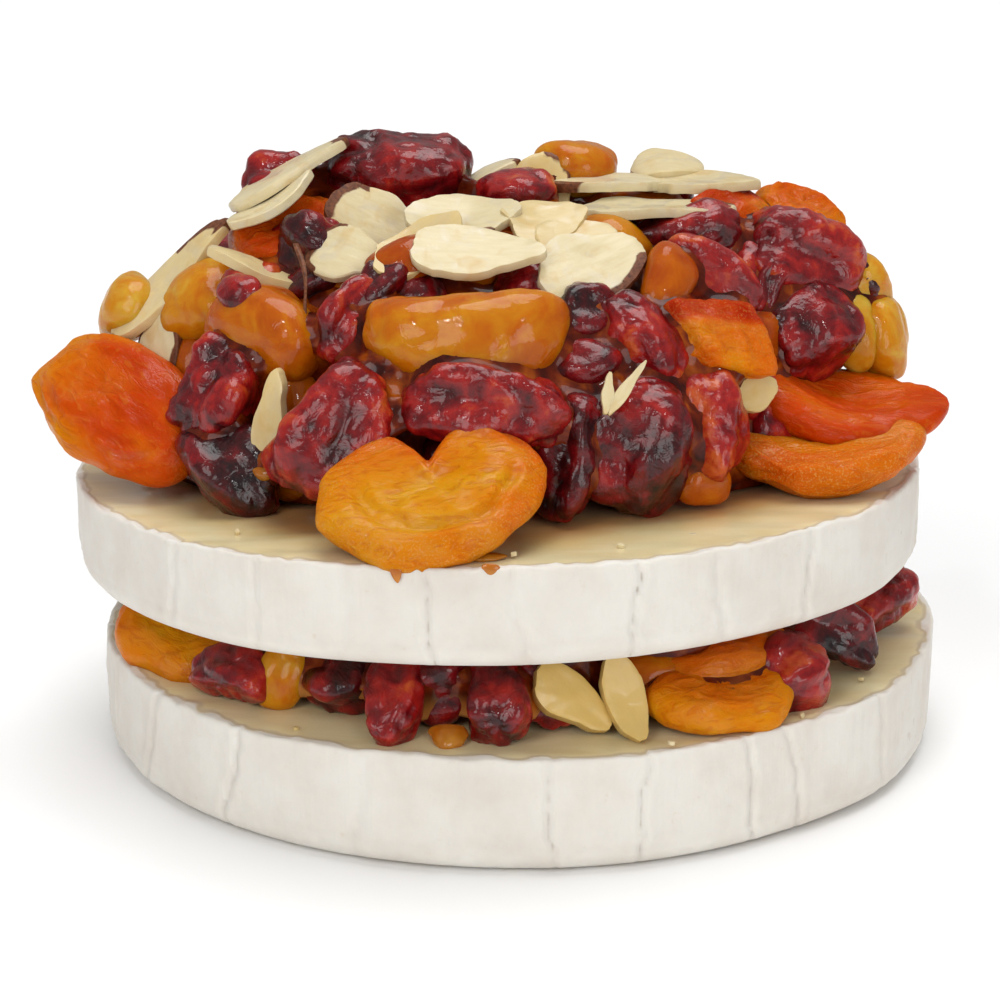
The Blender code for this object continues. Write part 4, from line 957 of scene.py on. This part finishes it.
def half_wheel(height, creases, seed, honey_reach):
    """A half of the wheel: creased bloomy side, ragged rim of rind and a smeared cut face."""
    section = rim_profile(height)
    rings = len(section)
    angles = np.arange(RIND_SIDES) * 2.0 * math.pi / RIND_SIDES
    radius = np.repeat(section[:, 0], RIND_SIDES)
    level = np.repeat(section[:, 1], RIND_SIDES)
    angle = np.tile(angles, rings)
    points = np.stack((radius * np.cos(angle), radius * np.sin(angle), level), axis=1)
    bearing = (np.degrees(angle) + 180.0) % 360.0 - 180.0

    wobble = 0.004 * np.sin(3.0 * angle + 1.0) + 0.003 * np.sin(8.0 * angle)
    side = smoothstep(WHEEL_RADIUS - 2.2, WHEEL_RADIUS - 0.3, radius)
    lift = 0.35 * noise(points, 14.0, seed) + 0.16 * noise(points, 4.5, seed + 1)
    lift += 0.06 * noise(points, 1.5, seed + 2)
    lift += 0.03 * noise(points, 0.6, seed + 3)
    creased = crease_depth(bearing, level, height, creases)
    lift -= creased
    band = np.exp(-((level - 3.1 - 0.5 * noise(points, 16.0, seed + 4)) / 0.45) ** 2)
    lift -= 0.12 * band
    on_cut = level > height - 0.01
    near_rim = smoothstep(WHEEL_RADIUS - 2.4, WHEEL_RADIUS - 0.6, radius)
    near_rim *= smoothstep(height - 1.6, height - 0.1, level)
    chip = ridges(points * np.array((1.0, 1.0, 0.3)), 3.2, seed + 5) * 0.20
    chip += 0.14 * noise(points, 1.1, seed + 6)
    grow = 1.0 + wobble + side * lift / WHEEL_RADIUS
    points[:, :2] *= grow[:, None]
    points[:, 2] += near_rim * (chip - 0.12)
    face = on_cut & (radius < WHEEL_RADIUS - 0.5)
    smear = points * np.array((0.25, 1.0, 1.0))
    smeared = 0.16 * noise(smear, 2.6, seed + 7) + 0.10 * noise(points, 8.0, seed + 8)
    points[:, 2] += np.where(face, smeared, 0.0)
    on_base = level < 0.01
    points[:, 2] = np.where(on_base, 0.0, np.maximum(points[:, 2], 0.0))

    ragged = WHEEL_RADIUS - RIND_THICKNESS + 0.45 * noise(points, 2.0, seed + 9)
    ragged += 0.3 * noise(points, 7.0, seed + 10)
    paste = smoothstep(ragged + 0.45, ragged - 0.45, radius) * on_cut
    front = 0.5 - 0.5 * np.sin(angle)
    uneven = radius + 3.5 * noise(points, 9.0, seed + 11)
    stained = smoothstep(honey_reach + 7.0 + 3.0 * front, honey_reach - 7.0, uneven)
    faces = []
    for ring in range(rings - 1):
        for column in range(RIND_SIDES):
            after = (column + 1) % RIND_SIDES
            start, below = ring * RIND_SIDES, (ring + 1) * RIND_SIDES
            faces.append((start + column, below + column, below + after, start + after))
    specks = smoothstep(0.30, 0.55, noise(points, 1.3, seed + 12)) * np.exp(-((bearing + 26.0) / 8.0) ** 2)
    # The side's mark: painted shade in the creases, and a patch of dark specks.
    crease_shade_and_specks = np.clip(2.0 * creased + 0.9 * specks, 0.0, 1.0)
    form = Form(points, faces, 0.0, np.where(on_cut, stained, crease_shade_and_specks))
    form.tone = paste
    return welded(form)


def welded(form):
    """The form with the points of its first and last ring, which lie on the axis, made one each."""
    count = len(form.points)
    first, last = 0, count - RIND_SIDES
    keep = np.arange(count)
    keep[:RIND_SIDES] = first
    keep[last:] = last
    faces = []
    for face in form.faces:
        corners = []
        for index in face:
            target = int(keep[index])
            if target not in corners:
                corners.append(target)
        if len(corners) > 2:
            faces.append(corners)
    form.faces = faces
    form.points[first, :2] = 0.0
    form.points[last, :2] = 0.0
    return form


def dome_point(out, reach=1.0):
    """The point of the heap's full-bodied dome in that direction, or short of it by reach."""
    far = reach * sum(abs(value) ** HEAP_FULLNESS for value in out) ** (-1.0 / HEAP_FULLNESS)
    return Vector([far * out[axis] * HEAP_HALF_SIZE[axis] + HEAP_CENTRE[axis] for axis in range(3)])


def beyond_dome(point):
    """True for a point outside the heap's dome."""
    away = [(point[axis] - HEAP_CENTRE[axis]) / HEAP_HALF_SIZE[axis] for axis in range(3)]
    return sum(abs(value) ** HEAP_FULLNESS for value in away) > 1.0


def back_rows():
    """Rows for the small pieces that cover the back of the heap, as in the solids."""
    rng = random.Random(7)
    rows = []
    for number in range(BACK_PIECES):
        tier = number % len(BACK_CLIMBS)
        share = (number + 0.5) / BACK_PIECES
        bearing = BACK_BEARINGS[0] + share * (BACK_BEARINGS[1] - BACK_BEARINGS[0]) + rng.uniform(-3.0, 3.0)
        climb = BACK_CLIMBS[tier] + rng.uniform(-4.0, 4.0)
        kind = BACK_KINDS[rng.randrange(len(BACK_KINDS))]
        centre = dome_point(aim(bearing, climb, 0.0).col[2], 1.03 if kind == "almond" else 0.99)
        centre.z = max(centre.z, 4.0)
        size = [value * rng.uniform(0.85, 1.15) for value in SMALL_SIZES[kind]]
        rows.append((f"back_{kind}_{number}", centre, size, (bearing, climb, rng.uniform(-80.0, 80.0))))
    return rows


def root_rows(rows):
    """Rows for the berries under the small pieces that would otherwise lie clear of the core."""
    roots = []
    for name, centre, size, turn in rows:
        out = aim(*turn).col[2]
        back = Vector(centre) - (0.5 * size[2] - ROOT_OVERLAP) * out
        if beyond_dome(back):
            size = [ROOT_SHRINK * value for value in ROOT_SIZE]
            centre = back - (0.5 * ROOT_SIZE[2] + ROOT_OVERLAP) * out
            roots.append((f"{ROOT_KIND}_{name}", centre, size, turn))
    return roots


def side_rows():
    """Rows for the small pieces that cover the side of the filling, as in the solids."""
    rng = random.Random(11)
    rows = []
    for number in range(SIDE_PIECES):
        share = (number + 0.5) / SIDE_PIECES
        bearing = SIDE_BEARINGS[0] + share * (SIDE_BEARINGS[1] - SIDE_BEARINGS[0]) + rng.uniform(-3.0, 3.0)
        kind = BACK_KINDS[rng.randrange(len(BACK_KINDS) - 1)]
        angle = math.radians(bearing)
        reach = SIDE_RADIUS + rng.uniform(-1.0, 1.5)
        centre = (reach * math.cos(angle), reach * math.sin(angle), FILLING_MIDDLE + rng.uniform(-0.5, 1.0))
        size = [value * rng.uniform(0.8, 1.05) for value in SMALL_SIZES[kind]]
        rows.append((f"side_{kind}_{number}", centre, size, (bearing, 20.0, rng.uniform(-40.0, 40.0))))
    return rows


def fill_rows():
    """Rows for small berries sunk in the middle of the heap, so that fruit shows in its gaps too."""
    rng = random.Random(23)
    rows = []
    for number in range(FILL_PIECES):
        climb = math.degrees(math.asin(0.08 + 0.9 * (number + 0.5) / FILL_PIECES))
        bearing = (number * GOLDEN_ANGLE + rng.uniform(-8.0, 8.0)) % 360.0
        kind = "raisin" if rng.random() < 0.3 else "cranberry"
        behind = bearing < 180.0
        centre = dome_point(aim(bearing, climb, 0.0).col[2], FILL_BACK_REACH if behind else FILL_REACH)
        centre.z = max(centre.z, 3.5)
        growth = FILL_BACK_GROWTH if behind else 1.0
        size = [growth * value * rng.uniform(0.85, 1.15) for value in FILL_SIZE]
        row = (f"fill_{kind}_{number}", centre, size, (bearing, climb, rng.uniform(-90.0, 90.0)))
        if all((centre - Vector(other[1])).length > FILL_CLEARANCE for other in TOPPING):
            rows.append(row)
    return rows


def heap_core_form():
    """The middle of the heap: a low dome of packed fruit."""
    unit, faces, _, _ = ball(*HEAP_CORE_MESH)
    reach = HEAP_CORE_SHARE * np.sum(np.abs(unit) ** HEAP_FULLNESS, axis=1) ** (-1.0 / HEAP_FULLNESS)
    points = unit * reach[:, None] * np.array(HEAP_HALF_SIZE) + np.array(HEAP_CENTRE)
    lumps = 0.9 * noise(points, 9.0, 21) + 0.5 * noise(points, 4.0, 22) - 0.3
    points = points + outward(unit, (1.0, 1.0, 1.0)) * lumps[:, None]
    points[:, 2] = np.maximum(points[:, 2], 0.4)
    form = Form(transformed(points, UPPER_PLACE), faces, 0.0)
    form.grain = points
    return form


def filling_core_form():
    """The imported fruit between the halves: a thick disc with a lumpy side."""
    unit, faces, angle, _ = ball(*FILLING_CORE_MESH)
    around = np.hypot(unit[:, 0], unit[:, 1]) ** 0.2
    height = np.sign(unit[:, 2]) * np.abs(unit[:, 2]) ** 0.3
    uneven = 1.0 + 0.02 * np.sin(5.0 * angle) + 0.02 * np.sin(11.0 * angle + 1.0)
    x = FILLING_RADIUS * around * uneven * np.cos(angle)
    y = FILLING_RADIUS * around * uneven * np.sin(angle)
    under = UPPER_PLACE @ Vector((0.0, 0.0, -UPPER_HEIGHT))
    normal = UPPER_PLACE.to_3x3().col[2]
    ceiling = under.z - (normal.x * (x - under.x) + normal.y * (y - under.y)) / normal.z
    low, high = LOWER_HEIGHT + 0.1, ceiling - 0.1
    points = np.stack((x, y, low + (high - low) * (0.5 + 0.5 * height)), axis=1)
    lumps = 0.8 * noise(points, 7.0, 31) + 0.4 * noise(points, 3.0, 32)
    points[:, :2] *= (1.0 + around * lumps / FILLING_RADIUS)[:, None]
    return Form(points, faces, 0.0)


def add_pieces(rows, place, looks):
    """Every separate piece of a table of rows, each standing for its solid."""
    for row in rows:
        kind = kind_of(row[0])
        add_form(f"{row[0]}_detailed", placed(row, place, FINE), looks[kind], kind, (row[0],))


def add_heap(prefix, rows, hidden, core, place, looks, node):
    """A heap: its core, and its small pieces as one object for each kind, standing for one solid."""
    add_form(f"{prefix}_core", core, looks["honey"], "mixed_fruit", (node,))
    for kind in SMALL_SIZES:
        forms = [placed(row, place, COARSE) for row in rows if kind_of(row[0]) == kind]
        forms += [placed(row, place, PLAIN) for row in hidden if kind_of(row[0]) == kind]
        if forms:
            add_form(f"{prefix}_{kind}", joined(forms), looks[kind], kind, (node,))


def closed_over(forms, name):
    """A skin drawn over the forms that bridges their crevices and lies just under their crests."""
    whole = joined(forms)
    mesh = bpy.data.meshes.new(name)
    mesh.from_pydata((whole.points * MM).tolist(), [], whole.faces)
    work = bpy.data.objects.new(name, mesh)
    bpy.context.scene.collection.objects.link(work)
    for kind, amount in (("REMESH", HONEY_VOXEL), ("DISPLACE", HONEY_REACH), ("REMESH", HONEY_VOXEL),
                         ("DISPLACE", -HONEY_REACH - HONEY_DEPTH)):
        modifier = work.modifiers.new(kind.lower(), kind)
        if kind == "REMESH":
            modifier.mode = "VOXEL"
            modifier.voxel_size = amount * MM
        else:
            modifier.strength = amount * MM
            modifier.mid_level = 0.0
    smooth = work.modifiers.new("smooth", "SMOOTH")
    smooth.factor = 0.5
    smooth.iterations = 4
    result = bpy.data.meshes.new_from_object(work.evaluated_get(bpy.context.evaluated_depsgraph_get()))
    bpy.data.objects.remove(work, do_unlink=True)
    points = np.empty(len(result.vertices) * 3)
    result.vertices.foreach_get("co", points)
    points = points.reshape(-1, 3) / MM
    faces = [list(face.vertices) for face in result.polygons]
    bpy.data.meshes.remove(result)
    return Form(points, faces)


def add_honey(prefix, rows, core, place, looks, node):
    """Honey that fills the crevices of the fruit, paler where it meets the cheese: a thin pool, lightened as
    painted light in the shade under the fruit.
    """
    forms = [placed(row, place, COARSE) for row in rows
             if kind_of(row[0]) != "almond" and row[0] not in CLEAR_OF_HONEY]
    skin = closed_over([core, *forms], f"{prefix}_honey_work")
    floor = core.points[:, 2].min()
    # Paler near the cheese: a thin pool, and painted light in the shade under the fruit.
    skin.tone = smoothstep(POOL_TOP, POOL_LOW, skin.points[:, 2] - floor + 0.8 * noise(skin.points, 5.0, 77))
    add_form(f"{prefix}_honey", skin, looks["honey"], "mixed_fruit", (node,))


def add_halves(looks):
    """The two halves of the cheese."""
    lower = half_wheel(LOWER_HEIGHT, LOWER_CREASES + back_creases(3), 41, LOWER_HONEY_REACH)
    add_form("lower_half_detailed", lower, looks["brie"], "brie", ("lower_half",))
    upper = half_wheel(UPPER_HEIGHT, UPPER_CREASES + back_creases(5), 61, UPPER_HONEY_REACH)
    upper.points = transformed(upper.points - np.array((0.0, 0.0, UPPER_HEIGHT)), UPPER_PLACE)
    add_form("upper_half_detailed", upper, looks["brie"], "brie", ("upper_half",))


def add_details(looks):
    """The smallest things: a red scrap, a bit of stalk, crumbs of almond and drops of honey."""
    scrap = placed(SCRAP, UPPER_PLACE, COARSE)
    add_form("red_scrap", scrap, looks["cranberry"], "cranberry")
    add_form("stalk", stalk_form(), looks["almond"], "almond")
    crumbs = []
    rng = random.Random(91)
    spots = [(UPPER_PLACE, Vector(spot)) for spot in CRUMBS_HIGH]
    spots += [(ORIGIN, Vector(spot)) for spot in CRUMBS_LOW]
    for place, spot in spots:
        size = [rng.uniform(0.5, 1.0) * value for value in CRUMB_SIZE]
        turn = (rng.uniform(-180.0, 180.0), rng.uniform(60.0, 90.0), rng.uniform(-90.0, 90.0))
        crumbs.append(placed((f"crumb_almond_{len(crumbs)}", spot, size, turn), place, CRUMB_MESH))
    add_form("crumbs", joined(crumbs), looks["almond"], "almond")
    drops = [drop_form(UPPER_PLACE, *drop) for drop in DROPS_HIGH]
    drops += [drop_form(ORIGIN, *drop) for drop in DROPS_LOW]
    add_form("honey_drops", joined(drops), looks["drop"], "mixed_fruit")


def stalk_form():
    """A thin dry stalk that bends as it lies over the fruit."""
    points, faces = [], []
    for step in range(STALK_STEPS + 1):
        share = step / STALK_STEPS
        middle = Vector(STALK_FROM).lerp(Vector(STALK_TO), share)
        middle += Vector((0.5 * math.sin(5.0 * share), -0.6 * math.sin(math.pi * share), 0.0))
        radius = STALK_RADIUS * (1.0 - 0.55 * share) * (1.0 + 0.25 * math.sin(9.0 * share))
        for side in range(STALK_SIDES):
            angle = side * 2.0 * math.pi / STALK_SIDES
            points.append(middle + radius * Vector((math.cos(angle), math.sin(angle), 0.0)))
            if step:
                last, here, after = (step - 1) * STALK_SIDES, step * STALK_SIDES, (side + 1) % STALK_SIDES
                faces.append((last + side, last + after, here + after, here + side))
    tip = STALK_STEPS * STALK_SIDES
    faces += [tuple(range(STALK_SIDES - 1, -1, -1)), tuple(range(tip, tip + STALK_SIDES))]
    form = Form(np.array([tuple(point) for point in points]), faces, 0.5, np.ones(len(points)))
    form.points = transformed(form.points, UPPER_PLACE)
    return form


def drop_form(place, centre, size, turn):
    """A drop or a run of honey, smooth and a little uneven."""
    unit, faces, _, _ = ball(36, 20)
    points = unit * np.array(size) * (0.5 + 0.06 * noise(unit * np.array(size), 2.0, 5))[:, None]
    points[:, 0] *= 1.0 + 0.40 * unit[:, 1]
    matrix = place @ Matrix.Translation(Vector(centre)) @ aim(*turn).to_4x4()
    form = Form(points, faces)
    form.points = transformed(points, matrix)
    return form


def add_camera():
    """The camera, where the photograph was taken from."""
    data = bpy.data.cameras.new("camera")
    data.lens = CAMERA_LENS
    data.sensor_width = CAMERA_SENSOR
    camera = bpy.data.objects.new("camera", data)
    back = Vector((0.0, -math.cos(CAMERA_RISE), math.sin(CAMERA_RISE)))
    camera.location = CAMERA_TARGET + back * CAMERA_DISTANCE
    camera.rotation_euler = (math.radians(90.0) - CAMERA_RISE, 0.0, 0.0)
    bpy.context.scene.collection.objects.link(camera)
    bpy.context.scene.camera = camera


def add_sun(name, direction, width, strength):
    """A soft lamp at a great distance, so that the floor is as bright far away as near."""
    data = bpy.data.lights.new(name, "SUN")
    data.angle = math.radians(width)
    data.energy = strength
    lamp = bpy.data.objects.new(name, data)
    lamp.rotation_euler = Vector(direction).to_track_quat("Z", "Y").to_euler()
    bpy.context.scene.collection.objects.link(lamp)


def add_stage():
    """A white floor, a white sky and soft lamps."""
    scene = bpy.context.scene
    scene.view_settings.view_transform = "Standard"
    world = bpy.data.worlds.new("studio")
    world.use_nodes = True
    world.node_tree.nodes["Background"].inputs["Color"].default_value = (1.0, 1.0, 1.0, 1.0)
    world.node_tree.nodes["Background"].inputs["Strength"].default_value = SKY_STRENGTH
    scene.world = world
    for sun in SUNS:
        add_sun(*sun)
    bm = bmesh.new()
    bmesh.ops.create_grid(bm, x_segments=40, y_segments=40, size=FLOOR_HALF_SIZE)
    for vert in bm.verts:
        vert.co.z = -0.0002 - 0.00005 * math.sin(9.0 * vert.co.x) * math.cos(7.0 * vert.co.y)
    mesh = bpy.data.meshes.new("floor")
    bm.to_mesh(mesh)
    bm.free()
    mesh.materials.append(floor_material())
    floor = bpy.data.objects.new("floor", mesh)
    scene.collection.objects.link(floor)


def build():
    """The whole picture."""
    add_camera()
    add_stage()
    looks = {
        "cranberry": cranberry_material(), "raisin": raisin_material(), "apricot": apricot_material(),
        "almond": almond_material(), "honey": honey_material(), "brie": brie_material(),
        "drop": drop_material(),
    }
    add_halves(looks)
    add_pieces(TOPPING, UPPER_PLACE, looks)
    add_pieces(FILLING, ORIGIN, looks)
    small = [*TOPPING_SMALL, *back_rows()]
    hidden = [*root_rows(TOPPING_SMALL), *fill_rows()]
    core = heap_core_form()
    add_heap("heap", small, hidden, core, UPPER_PLACE, looks, "topping_heap")
    add_honey("heap", [*TOPPING, *small], core, UPPER_PLACE, looks, "topping_heap")
    small = [*FILLING_SMALL, *side_rows()]
    core = filling_core_form()
    add_heap("filling", small, (), core, ORIGIN, looks, "filling_layer")
    add_honey("filling", [*FILLING, *small], core, ORIGIN, looks, "filling_layer")
    add_details(looks)


build()
